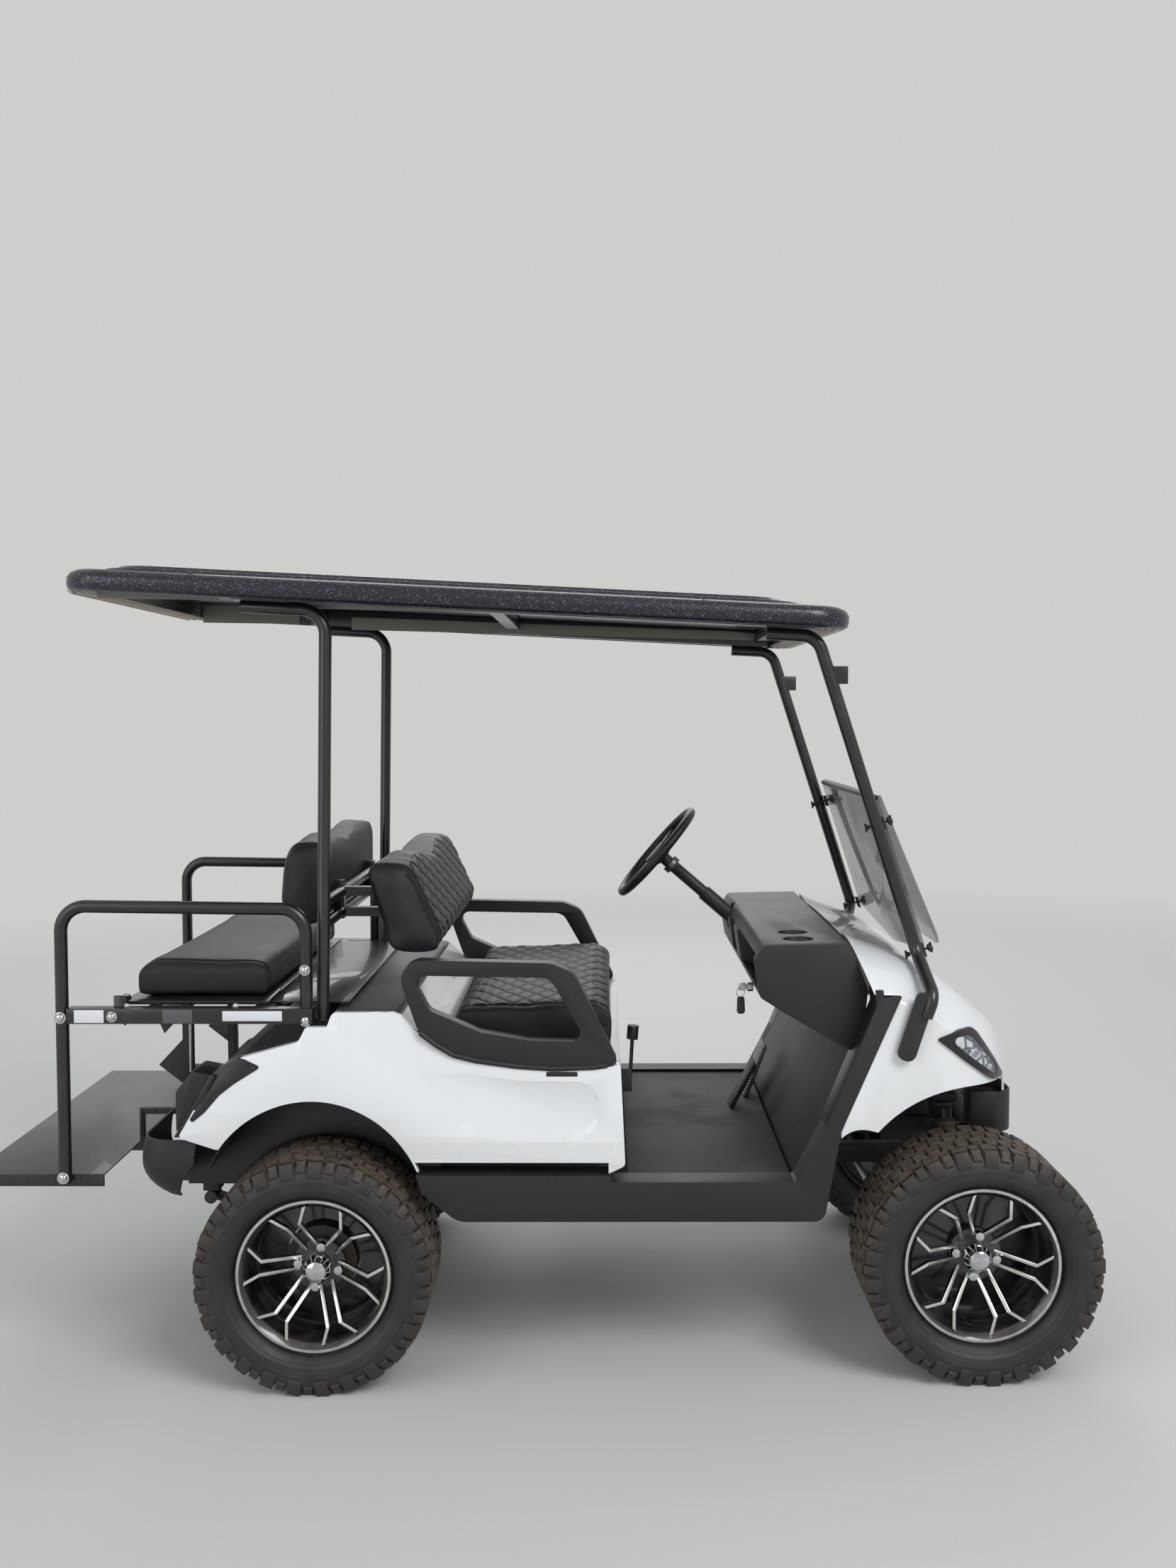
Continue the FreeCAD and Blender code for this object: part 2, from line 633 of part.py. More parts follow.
def chassis_frame():
    """Side rails, cross tubes, nose beams with arm plates and damper towers, spring hangers."""
    wide = size("rail_size")
    half = wide / 2
    top = size("rail_top")
    low = top - wide
    rail = size("rail_y")
    nose = size("nose_beam_y")
    rail_front = FRONT_AXLE - size("rail_front_inset")
    nose_front = FRONT_AXLE + size("nose_beam_reach")
    splice = rail_front - 2.4 * wide
    plate_reach = size("lower_arm_span") + size("arm_bush") / 2
    seat = size("panel_wall") + size("fit_gap")
    tower = (FRONT_AXLE - 30, FRONT_AXLE + 30)
    tower_z = size("tower_z")
    ledge_z = size("damper_ledge")
    ledge_x = (-190, -150)
    bracket_z = (300, 340)
    # x, |y| and z ranges of each block on one side
    rows = [
        ((size("rail_rear"), rail_front), (rail - half, rail + half), (low, top)),
        ((splice, nose_front), (nose - half, nose + half), (low, top)),
        ((FRONT_AXLE - plate_reach, FRONT_AXLE + plate_reach), (nose, nose + half), (-60, low)),
        (tower, (nose - 10, nose + half), (top, tower_z + 20)),
        (tower, (nose, nose + half + size("arm_bush") + 34), (tower_z, tower_z + 20)),
        ((nose_front - half, nose_front), (nose - half, nose + half), (top, bracket_z[1])),
        ((nose_front - half, FRONT_AXLE + size("nose_reach") - seat), (nose - half, nose + half),
         bracket_z),
        ((size("body_rear") + seat, size("rail_rear")), (rail - half, rail + half), (low + 40, top)),
        (ledge_x, (rail - 20, rail + 20), (top, ledge_z)),
        (ledge_x, (rail - 20, rail + 72), (ledge_z, ledge_z + 20)),
    ]
    for spring_x in (-size("spring_half_length"), size("spring_half_length")):
        eye_top = size("spring_eye_z") + size("leaf_thickness") + size("eye_diameter") / 2
        hanger_z = to_body((spring_x, 0, eye_top)).z + 2 * size("fit_gap")
        rows.append(((spring_x - 22, spring_x + 22), (rail - half, rail + half), (hanger_z, low)))
    pieces = []
    for way in (-1, 1):
        for along, across, up in rows:
            pieces.append(block(along, ranged(way * across[0], way * across[1]), up))
    for cross_x in (size("rail_rear"), -190, 175, 400, 760, splice, rail_front - wide):
        pieces.append(block((cross_x, cross_x + wide), (-rail, rail), (low, top)))
    pieces.append(block((nose_front - wide, nose_front), (-nose, nose), (low, top)))
    return keep_shape("chassis_frame", pieces[0].multiFuse(pieces[1:]).removeSplitter())


chassis_frame()
gathered("engine_block", [box("engine", "sizes.engine_length", "sizes.engine_width",
                              "sizes.engine_height", "sizes.engine_x - sizes.engine_length/2",
                              "-sizes.engine_width/2", "sizes.rail_top")])


# Body panels. Rows of an outline are x, z and corner radius, or y, z and corner radius.

def side_hollow(inset):
    """The shallow hollow in the body's side, above the ridge that runs on from the arch."""
    half = size("body_half_width") - inset
    deep = half - size("side_recess")
    rows = [(246, 508, 20), (300, 450, 60), (385, 366, 60), (690, 352, 60), (690, 470, 50),
            (500, 474, 60), (330, 506, 40)]
    floor = outline_xz(rows, -deep).makeOffset2D(inset + 0.01)
    mouth = outline_xz(rows, -half - 1).makeOffset2D(inset + 2 * size("side_recess"))
    return both_sides(Part.makeLoft([floor, mouth], True, True))


def body_solid(inset):
    """The rear body's outer form, or the space inside it when inset by a wall."""
    half = size("body_half_width") - inset
    sill = size("sill_z")
    front = size("body_front")
    top = 642 - inset
    side = [(-333 + 1.3 * inset, 339 + inset, 8), (-244, 309, 0), (0, 280, 0), (239, sill, 0),
            (front - 35, sill - 4, 0), (front + 6 - inset, sill + 16, 14),
            (front - 5 - inset, 517 - inset, 8), (728, 512 - inset, 0), (591, 504 - inset, 60),
            (343, 537 - inset, 60), (267, 584 - inset, 30), (205 - inset, top, 30),
            (43 + inset, top, 16), (30 + inset, 606 - inset, 6), (-22 + inset, 606 - inset, 8),
            (-40 + inset, 570 - inset, 20), (-183, 532 - inset, 60), (-240 + inset, 501 - inset, 20)]
    profile = extrude(outline_xz(side, -700), (0, 1400, 0))
    tuck = size("sill_tuck")
    section = [(-half + tuck, 200, 0), (half - tuck, 200, 0), (half, 330, 60), (half, 400, 90),
               (half - 34, 650, 0), (half - 60, 660, 0), (-half + 60, 660, 0), (-half + 34, 650, 0),
               (-half, 400, 90), (-half, 330, 60)]
    outer = profile.common(extrude(outline_yz(section, -500), (1500, 0, 0)))
    recess_y = size("seat_half_width") + 30 + inset
    recess = block((size("seat_rear") - 12 - inset, front + 60), (-recess_y, recess_y),
                   (size("seat_base_z") - inset, 800))
    return outer.cut([recess] + side_hollow(inset))


def arch_cut(x, z, radius, inner_y):
    """Cylinders that open both wheel arches of one axle."""
    reach = size("body_half_width") + 160 - inner_y
    cuts = []
    for way in (-1, 1):
        cuts.append(Part.makeCylinder(radius, reach, Vector(x, way * inner_y, z), Vector(0, way, 0)))
    return cuts


def arch_lip(x, z, radius, form):
    """Flanges turned inward round both openings of one axle, within the panel's form."""
    inner_y = size("body_half_width") - size("arch_lip")
    rings = arch_cut(x, z, radius + size("panel_wall"), inner_y)
    return [ring.common(form) for ring in rings]


def rear_body():
    """White shell: fenders, sides, rear wall and seat box, open below and under the seat."""
    wall = size("panel_wall")
    shell = body_solid(0)
    inside = body_solid(wall)
    well = block((-238, size("body_front") - 35), (-size("body_half_width") + wall,
                 size("body_half_width") - wall), (200, 320))
    shell = shell.cut(inside.fuse(well))
    place = (-6, size("arch_centre_z"), size("arch_radius"))
    shell = shell.multiFuse(arch_lip(*place, body_solid(0)))
    cuts = arch_cut(*place, (size("track") - size("tyre_width")) / 2 - 22)
    bay = block((size("seat_rear") + 60, size("body_front") - 70), (-420, 420), (480, 660))
    shell = shell.cut(cuts[0].multiFuse([cuts[1], bay]))
    return keep_shape("rear_body", shell.removeSplitter())


def wrap_shell(label, rear, side_x, half, corner, low, high, wall, way):
    """A bumper: a curved wall round one end of the cart, open in the middle of the tail."""
    plans = []
    for inset in (0, wall):
        end = rear - way * inset
        edge = half - inset
        plans.append([(side_x, -edge, 0), (end, -edge, corner - inset),
                      (end, edge, corner - inset), (side_x, edge, 0)])
    outer = extrude(outline_xy(plans[0], low), (0, 0, high - low))
    inner_rows = [(row[0] - way * (5 if row[0] == side_x else 0), row[1], row[2]) for row in plans[1]]
    inner = extrude(outline_xy(inner_rows, low - 1), (0, 0, high - low + 2))
    shell = outer.cut(inner)
    if way < 0:
        shell = shell.cut(block((rear - 10, rear + 30), (-300, 300), (low - 1, high + 1)))
    return keep_shape(label, shell)


def tail_lamps():
    """Wedge housings on the sloping rear corners."""
    gap = size("fit_gap")
    slope = (333 - 240) / (501 - 339)
    low, high = 352, 490
    rows = [(-341, low, 2), (-341, 450, 20), (-300, 500, 12)]
    rows += [(-333 + (z - 339) * slope - 1.2 * gap, z, 0) for z in (high, low)]
    outer_y = -(size("body_half_width") - 14)
    lamp = extrude(outline_xz(rows, outer_y), (0, 116, 0))
    leaf_rows = [(-318, 360, 12), (-266, 402, 30), (-232, 442, 40), (-196, 470, 30), (-130, 511, 5),
                 (-178, 533, 30), (-244, 524, 10), (-262, 452, 30)]
    window = extrude(outline_xz(leaf_rows, outer_y - 40), (0, 90, 0))
    leaf = body_solid(-2).common(window).cut(body_solid(-gap))
    return keep_shape("tail_lamps", both_sides(lamp) + both_sides(leaf))


# The slanting joint between the black trim band and the white cowl: low and high ends.
TRIM_LOW, TRIM_HIGH = from_front([(-343, 354), (-198, 687)])


def rocker_panels():
    """Black sills with the diagonal trim band up to the dash, hollow on the inside."""
    low = size("rocker_bottom")
    sill = size("sill_z")
    floor = size("floor_z")
    gap = size("fit_gap")
    front = size("body_front")
    rows = [(265, low + 69, 20), (250, sill - 8 - gap, 0), (front - 34, sill - 8 - gap, 0),
            (front - 25, floor + 8, 0)]
    rows += from_front([(-452, floor + 9, 12), (-378, 373, 0), (-250, 684, 0)])
    rows += [TRIM_HIGH + (0,), TRIM_LOW + (0,)]
    rows += from_front([(-384, low + 2, 30)]) + [(353, low, 60)]
    depth = size("rocker_depth")
    outer_y = -(size("body_half_width") - 4)
    solid = extrude(outline_xz(rows, outer_y), (0, depth, 0))
    wall = size("panel_wall")
    inner = outline_xz(rows, outer_y + wall).makeOffset2D(-wall)
    solid = solid.cut(extrude(inner, (0, depth, 0)))
    return keep_shape("rocker_panels", both_sides(solid))


def floor_pan():
    """The mat and the pan below it, resting on the chassis and meeting the sills."""
    top = size("floor_z")
    under = size("rail_top")
    half = size("body_half_width") - 4 - size("rocker_depth") - size("fit_gap")
    front = FRONT_AXLE - size("floor_front_inset") - 6
    pan = block((size("floor_rear") + 6 + size("fit_gap"), front), (-half, half), (under, top))
    return keep_shape("floor_pan", pan)


COWL_SECTIONS = (
    # x from the front axle, inset of the side, centre height, shoulder height, lower edge
    (-348, 8, 838, 715, 330),
    (-198, 8, 765, 670, 330),
    (-78, 11, 706, 600, 330),
    (12, 40, 634, 520, 385),
    (92, 170, 568, 460, 385),
    (152, 360, 470, 415, 385),
    (178, 510, 400, 392, 385),
)


def cowl_solid(inset):
    """The front cowl's form lofted along x, or the space inside it when inset by a wall."""
    wires = []
    for index, (x, aside, top, shoulder, low) in enumerate(from_front(COWL_SECTIONS)):
        wide = size("body_half_width") - aside - inset
        crown = top - inset
        edge = shoulder - inset
        base = low - (40 if inset > 0 else 0)
        place = x - inset if index else x - 2 * inset
        knee = (0.55 * wide, crown - 0.07 * (crown - edge))
        bulge = (0.55 * wide + 0.45 * wide * 0.76, edge + 0.70 * (knee[1] - edge))
        corner = [Vector(place, -wide, base), Vector(place, wide, base), Vector(place, wide, edge),
                  Vector(place, knee[0], knee[1]), Vector(place, -knee[0], knee[1]),
                  Vector(place, -wide, edge)]
        wires.append(Part.Wire([
            Part.makeLine(corner[0], corner[1]),
            Part.makeLine(corner[1], corner[2]),
            Part.Arc(corner[2], Vector(place, bulge[0], bulge[1]), corner[3]).toShape(),
            Part.Arc(corner[3], Vector(place, 0, crown), corner[4]).toShape(),
            Part.Arc(corner[4], Vector(place, -bulge[0], bulge[1]), corner[5]).toShape(),
            Part.makeLine(corner[5], corner[0])]))
    return Part.makeLoft(wires, True, False)


def front_cowl():
    """White front shell with both arches, cut along the diagonal trim and under the dash."""
    shell = cowl_solid(0).cut(cowl_solid(size("panel_wall")))
    shift = 1.1 * size("fit_gap")
    rows = [(TRIM_LOW[0] + shift, TRIM_LOW[1], 0), (TRIM_HIGH[0] + shift, TRIM_HIGH[1], 0)]
    rows += from_front([(-264, 692, 0), (-308, 812, 0), (-278, 1000, 0), (262, 1000, 0), (262, 300, 0)])
    rows += [(TRIM_LOW[0] + shift, 300, 0)]
    half = size("body_half_width") + 100
    window = extrude(outline_xz(rows, -half), (0, 2 * half, 0))
    place = (FRONT_AXLE, size("front_arch_centre_z"), size("front_arch_radius"))
    shell = shell.multiFuse(arch_lip(*place, cowl_solid(0))).common(window)
    cuts = arch_cut(*place, size("track") / 2 - 227)
    return keep_shape("front_cowl", shell.cut(cuts[0].fuse(cuts[1])))


def on_cowl(rows, lift, cut_back):
    """A skin that lies on the cowl inside an outline, less what fills its middle."""
    half = size("body_half_width")
    window = extrude(outline_xz(rows, -half), (0, half / 2, 0))
    skin = cowl_solid(-lift).common(window).cut(cowl_solid(-size("fit_gap")))
    for inner in cut_back:
        skin = skin.cut(extrude(inner, (0, half / 2, 0)))
    return skin


def headlamps():
    """Lenses on the cowl's front corners, each in a leaf-shaped bezel."""
    lens_rows = from_front([(-86, 586, 20), (-24, 590, 30), (58, 500, 20), (52, 478, 20), (-20, 532, 40)])
    leaf_rows = from_front([(-112, 582, 4), (-60, 603, 40), (-10, 604, 40), (90, 462, 4), (40, 470, 40),
                            (-40, 526, 60)])
    gap_line = outline_xz(lens_rows, -size("body_half_width")).makeOffset2D(size("fit_gap"))
    lens = on_cowl(lens_rows, 4, [])
    bezel = on_cowl(leaf_rows, 5, [gap_line])
    return keep_shape("headlamps", both_sides(lens) + both_sides(bezel))


DASH_ROWS = from_front([(-548, 765, 14), (-524, 802, 16), (-311, 806, 10), (-266, 690, 10),
                        (-282, 521, 20), (-477, 633, 30), (-534, 669, 14)])


def dashboard():
    """Moulded dash with two open pockets and the bore for the column."""
    half = size("body_half_width") - size("dash_inset")
    solid = extrude(outline_xz(DASH_ROWS, -half), (0, 2 * half, 0))
    pocket = from_front([(-578, 700, 0), (-578, 770, 0), (-488, 775, 10), (-338, 775, 12),
                         (-318, 640, 20), (-438, 650, 20)])
    for low, high in ((-half + 40, -60), (60, 190)):
        solid = solid.cut(extrude(outline_xz(pocket, low), (0, high - low, 0)))
    for cup_y in (-half + 90, -half + 200):
        cup = Part.makeCylinder(38, 30, Vector(FRONT_AXLE - 428, cup_y, 786), Vector(0, 0, 1))
        solid = solid.cut(cup)
    top = column_point(0)
    solid = solid.cut(Part.makeCylinder(size("column_bore") / 2, 900, top, column_way()))
    return keep_shape("dashboard", solid)


def column_way():
    """The column's direction, down and forward."""
    angle = math.radians(size("column_angle"))
    return Vector(math.cos(angle), 0, -math.sin(angle))


def column_point(distance):
    """A point on the column's axis, counted from the wheel's centre."""
    x = FRONT_AXLE - size("wheel_centre_inset")
    centre = Vector(x, size("wheel_centre_y"), size("wheel_centre_z"))
    return centre + column_way() * distance


def steering_column():
    """Sleeve, tube and the shaft that drops to the steering box."""
    foot = column_point(640)
    pieces = [rod("column_upper", "sizes.column_diameter - 10", column_point(30 + size("fit_gap")),
                  column_point(210)),
              rod("column_collar", "sizes.column_diameter + 8", column_point(52), column_point(70)),
              rod("column_sleeve", "sizes.column_diameter", column_point(190), foot)]
    low = Vector(FRONT_AXLE - 160, size("wheel_centre_y") - 160, size("rail_top") + 40)
    pieces.append(rod("lower_shaft", "sizes.tie_rod_diameter", foot, low))
    pieces.append(rod("steering_box", "2*sizes.column_diameter",
                      low - Vector(0, 0, 40 - size("fit_gap")), low + Vector(0, 0, 20)))
    return fused("steering_column", pieces)


def steering_wheel():
    """Rim, three spokes and the hub on the column."""
    axis = column_way()
    centre = column_point(0)
    ring = (size("wheel_diameter") - size("wheel_grip")) / 2
    turn = Rotation(Vector(0, 0, 1), axis * -1)
    pieces = [Part.makeTorus(ring, size("wheel_grip") / 2)]
    hub = size("wheel_hub") / 2
    for angle in (60, 180, 300):
        bar = Part.makeBox(ring - 20, 34, 9, Vector(20, -17, -9))
        bar.rotate(Vector(0, 0, 0), Vector(0, 0, 1), angle)
        pieces.append(bar)
    pieces.append(Part.makeCone(hub - 18, hub, 26, Vector(0, 0, -30)))
    pieces.append(Part.makeCylinder(hub, 10, Vector(0, 0, -4)))
    shape = pieces[0].multiFuse(pieces[1:])
    shape.Placement = Placement(centre, turn)
    return keep_shape("steering_wheel", shape)


def footwell_panel():
    """Sloping bulkhead ahead of the driver's feet."""
    half = size("body_half_width") - 4 - size("rocker_depth") - size("fit_gap")
    top = size("rail_top")
    front = -size("floor_front_inset") - 6 + size("fit_gap")
    rows = from_front([(front, top, 0), (-446, top, 0), (-438, 225, 10), (-368, 368, 0), (-286, 570, 0),
                       (-288, 592, 0), (-380, 372, 0), (-450, 229, 10)])
    solid = extrude(outline_xz(rows, -half), (0, 2 * half, 0))
    solid = solid.cut(Part.makeCylinder(size("column_bore") / 2, 900, column_point(0), column_way()))
    dash = outline_xz(DASH_ROWS, -half - 10).makeOffset2D(size("fit_gap"))
    solid = solid.cut(extrude(dash, (0, 2 * half + 20, 0)))
    return keep_shape("footwell_panel", solid)


def pedals():
    """Brake pad and accelerator pad on the floor."""
    low = size("floor_z") + size("fit_gap")
    brake = from_front([(-502, low, 0), (-488, low, 0), (-430, 372, 4), (-441, 377, 4)])
    throttle = from_front([(-556, low, 0), (-542, low, 0), (-474, 345, 4), (-484, 352, 4)])
    return keep_shape("pedals", [extrude(outline_xz(brake, 215), (0, 105, 0)),
                                 extrude(outline_xz(throttle, 95), (0, 75, 0))])


def direction_lever():
    """Short lever with a knob, ahead of the seat box."""
    front = size("body_front") + 10
    pieces = [box("lever_base", "26", "46", "60", "sizes.body_front + 1.5", "-323", "380"),
              rod("lever_bar", "10", (front + 14, -300, 420), (front + 20, -300, 530)),
              rod("lever_knob", "30", (front + 19, -300, 516), (front + 22, -300, 552))]
    return fused("direction_lever", pieces)


rear_body()
wrap_shell("rear_bumper", size("body_rear"), -300, size("body_half_width") - 16, 90, 172, 325,
           size("panel_wall"), -1)
tail_lamps()
rocker_panels()
floor_pan()
front_cowl()
wrap_shell("front_bumper", FRONT_AXLE + size("nose_reach"), FRONT_AXLE + 52, 290, 70, 262, 372,
           size("panel_wall"), 1)
headlamps()
dashboard()
steering_column()
steering_wheel()
footwell_panel()
pedals()
direction_lever()


# Seats in front.

def hump_outline(half, low, top, dip, corner):
    """The two-humped front view of a backrest: rows of y, z and corner radius."""
    return [(-half, low, corner), (half, low, corner), (half, top - 30, 60), (half * 0.55, top, 120),
            (0, top - dip, 90), (-half * 0.55, top, 120), (-half, top - 30, 60)]


def backrest(label, side_rows, half, low, top, dip, round_edge):
    """A padded back: side view and two-humped front view in common."""
    side = extrude(outline_xz(side_rows, -half), (0, 2 * half, 0))
    front = extrude(outline_yz(hump_outline(half, low, top, dip, round_edge), -300), (900, 0, 0))
    return keep_shape(label, side.common(front))


def front_backrest():
    """Leaning front backrest."""
    top = size("back_top")
    low = size("back_bottom")
    edge = size("back_radius")
    rows = [(185, low, edge), (109, top - 34, edge), (150, top, edge), (204, top - 8, edge),
            (312, low + 30, edge), (300, low, edge)]
    return backrest("front_backrest", rows, size("back_half_width"), low, top, size("back_dip"), edge)


def rear_backrest():
    """Rear backrest, facing the tail."""
    cross = size("strut_foot_x") - size("tube_diameter") / 2 - size("fit_gap")
    rows = [(-70, 818, 22), (-119, 872, 40), (-108, 1000, 60), (-84, 1078, 30), (-34, 1078, 26),
            (cross, 1050, 16), (cross, 826, 16)]
    return backrest("rear_backrest", rows, size("rear_back_half_width"), 818, 1078, 36, 30)


def front_seat_cushion():
    """Front bench cushion."""
    low = size("seat_base_z") + size("seat_base_thickness") + size("fit_gap")
    top = low + size("cushion_height")
    edge = size("cushion_radius")
    half = size("seat_half_width")
    rows = [(size("seat_rear"), low, 12), (size("seat_front"), low, 12),
            (size("seat_front") + 6, top - 20, edge), (size("seat_front") - 40, top, 60),
            (size("seat_rear"), top - 14, edge)]
    solid = extrude(outline_xz(rows, -half), (0, 2 * half, 0))
    view = [(-half, low, 12), (half, low, 12), (half, top, edge), (-half, top, edge)]
    return keep_shape("front_seat_cushion", solid.common(extrude(outline_yz(view, 100), (900, 0, 0))))


def lid_hinge():
    """The front cushion's hinge line: x and z."""
    return size("seat_front") - size("hinge_inset"), size("seat_base_z") + size("hinge_rise")


def front_seat_base():
    """The cushion's base board with the hinge ears at its front corners."""
    low = size("seat_base_z") + size("fit_gap")
    half = size("seat_half_width") + 2
    thick = size("seat_base_thickness")
    x, z = lid_hinge()
    shape = block((size("seat_rear"), x), (-half, half), (low, low + thick))
    ear_rows = [(x - 50, low, 0), (x, low, 6), (x + 14, z - 8, 8), (x + 12, z + 14, 10),
                (x - 14, z + 14, 10)]
    for way in (-1, 1):
        ear = extrude(outline_xz(ear_rows, way * half), (0, way * 8, 0))
        shape = shape.fuse(ear)
        pin = Part.makeCylinder(size("hinge_pin") / 2 + size("fit_gap"), 20,
                                Vector(x, way * (half - 1), z), Vector(0, way, 0))
        shape = shape.cut(pin)
    return keep_shape("front_seat_base", shape)


def hip_restraints():
    """Looped mouldings at both ends of the front seat, with the seat's hinge pins."""
    wide = size("restraint_width")
    middle = size("body_half_width") - size("restraint_inset")
    outer_y = -(middle + wide / 2)
    inner_y = -(middle - wide / 2)
    outer = [(196, 777, 50), (583, 768, 50), (640, 745, 60), (752, 516, 14), (591, 505.5, 60),
             (343, 538.5, 60), (262, 589, 60)]
    opening = [(240, 738, 24), (582, 732, 40), (672, 574, 22), (530, 578, 60), (410, 598, 50),
               (284, 652, 30)]
    loop = extrude(outline_xz(outer, outer_y), (0, wide, 0))
    loop = loop.cut(extrude(outline_xz(opening, outer_y), (0, wide, 0)))
    x, z = lid_hinge()
    sink = 6
    reach = -inner_y - (size("seat_half_width") + 3)
    pin = Part.makeCylinder(size("hinge_pin") / 2, reach + sink, Vector(x, inner_y - sink, z),
                            Vector(0, 1, 0))
    return keep_shape("hip_restraints", both_sides(loop.fuse(pin)))


front_backrest()
rear_backrest()
front_seat_base()
front_seat_cushion()
hip_restraints()


# Rear seat kit: frame, rails, foot plate and the flip seat.

def rear_seat_frame():
    """Side rails with cross members, rear posts on the chassis and the flip hinge lugs."""
    wide = size("kit_rail_size")
    top = size("kit_rail_top")
    low = top - wide
    rail = size("kit_rail_y")
    post_x = size("post_x")
    half_post = size("post_width") / 2
    front = size("strut_foot_x") - size("tube_diameter") / 2 - size("fit_gap")
    pieces = []
    for way in (-1, 1):
        side = ranged(way * (rail - wide / 2), way * (rail + wide / 2))
        pieces.append(block((size("kit_rail_rear"), front), side, (low, top)))
        post = ranged(way * (size("post_y") - half_post), way * (size("post_y") + half_post))
        pieces.append(block((post_x - half_post, post_x + half_post), post, (size("rail_top"), low + 4)))
        gusset_y = way * (size("post_y") + half_post)
        gusset = [(post_x, 512, 0), (post_x - half_post, 500, 0), (post_x - 78, 431, 0), (post_x, 370, 0)]
        pieces.append(extrude(outline_xz(gusset, gusset_y), (0, -way * 6, 0)))
        for corner_a, corner_b, tip in (((-400, low + 2, 0), (-355, low + 2, 0), (-386, low - 31, 0)),
                                        ((-492, low + 2, 0), (-468, low + 2, 0), (-486, low - 12, 0))):
            hook_y = way * (rail - wide / 2)
            pieces.append(extrude(outline_xz([corner_a, corner_b, tip], hook_y), (0, way * 6, 0)))
        lug_y = ranged(way * (rail - wide / 2), way * (rail - wide / 2 + 9))
        lug_x = (size("flip_x") - 16, size("flip_x") + 16)
        pieces.append(block(lug_x, lug_y, (top - 4, size("flip_z") + 16)))
        pin_y = way * (rail - wide / 2 + 4)
        pin_end = size("rear_base_half_width") - 8
        pieces.append(Part.makeCylinder(size("hinge_pin") / 2, abs(pin_y) - pin_end,
                                        Vector(size("flip_x"), pin_y, size("flip_z")), Vector(0, -way, 0)))
    for cross_x, cross_end in ((post_x - 16, post_x + 16),
                               (size("rear_cushion_front") - 32, size("rear_cushion_front") + 16)):
        pieces.append(block((cross_x, cross_end), (-rail, rail), (low, top)))
    return keep_shape("rear_seat_frame", pieces[0].multiFuse(pieces[1:]).removeSplitter())


def rear_flip_base():
    """Board under the rear cushion, with hinge barrels at its tail end."""
    half = size("rear_base_half_width")
    thick = size("rear_base_thickness")
    low = size("kit_rail_top") + size("fit_gap")
    flip = Vector(size("flip_x"), 0, size("flip_z"))
    board = block((size("flip_x"), size("rear_cushion_front")), (-half, half), (low, low + thick))
    shape = board
    for way in (-1, 1):
        barrel = Part.makeCylinder(12, 30, Vector(flip.x, way * (half - 30), flip.z), Vector(0, way, 0))
        bore = Part.makeCylinder(size("hinge_pin") / 2 + size("fit_gap"), 12,
                                 Vector(flip.x, way * (half - 10), flip.z), Vector(0, way, 0))
        shape = shape.fuse(barrel).cut(bore)
    return keep_shape("rear_flip_base", shape)


def rear_seat_cushion():
    """Rear cushion on its board."""
    low = size("kit_rail_top") + 2 * size("fit_gap") + size("rear_base_thickness")
    top = low + size("rear_cushion_height")
    half = size("rear_half_width")
    tail = size("rear_cushion_rear")
    front = size("rear_cushion_front")
    rows = [(tail, low, 10), (front, low, 10), (front, top - 6, 30), (tail + 30, top, 60),
            (tail, top - 20, 34)]
    solid = extrude(outline_xz(rows, -half), (0, 2 * half, 0))
    view = [(-half, low, 10), (half, low, 10), (half, top, 34), (-half, top, 34)]
    return keep_shape("rear_seat_cushion", solid.common(extrude(outline_yz(view, -600), (900, 0, 0))))


def grab_rails():
    """Side loops from the foot plate up, forward and down to the seat frame."""
    across = -size("grab_y")
    tail = size("kit_rail_rear") - size("tube_diameter") / 2 - size("fit_gap")
    points = [(tail, across, size("grab_bottom")), (tail, across, size("grab_top")),
              (size("grab_front"), across, size("grab_top") - 8),
              (size("grab_front"), across, size("kit_rail_top") + size("fit_gap"))]
    return mirrored_pair("grab_rails", tube("grab_rail_right", points))


def foot_plate():
    """Foot plate with raised edges and the arms to the rear posts."""
    half = size("grab_y") - size("tube_diameter") / 2 - size("fit_gap")
    low = size("foot_z") - size("foot_thickness")
    thin = 5
    pieces = [block((size("foot_rear"), size("foot_front")), (-half, half),
                    (size("foot_z") - thin, size("foot_z")))]
    pieces.append(block((size("foot_rear"), size("foot_rear") + thin), (-half, half), (low, size("foot_z"))))
    for way in (-1, 1):
        pieces.append(block((size("foot_rear"), size("foot_front")), ranged(way * half, way * (half - thin)),
                            (low - 12, size("foot_z"))))
        arm = ranged(way * (size("post_y") - 14), way * (size("post_y") + 14))
        seat_x = size("post_x") - size("post_width") / 2 - size("fit_gap")
        pieces.append(block((size("foot_rear") + 60, seat_x), arm, (low - 6, size("foot_z") - thin)))
        bracket_top = size("foot_z") + 92
        pieces.append(block((size("foot_front"), seat_x), arm, (bracket_top - 18, bracket_top)))
        pieces.append(block((size("foot_front"), size("foot_front") + 12), arm,
                            (size("foot_z") - thin, bracket_top)))
    return keep_shape("foot_plate", pieces[0].multiFuse(pieces[1:]).removeSplitter())


def cargo_deck():
    """Tread plate behind the front seat, on the kit's rails."""
    gap = size("fit_gap")
    low = size("kit_rail_top") + gap
    half = size("rear_base_half_width")
    half -= 22
    plate_top = block((size("rear_cushion_front") + gap, size("deck_front")), (-half, half), (low, low + 4))
    foot = block((size("deck_front") - 20, size("deck_front")), (-half, half), (642 + gap, low))
    return keep_shape("cargo_deck", plate_top.fuse(foot).removeSplitter())


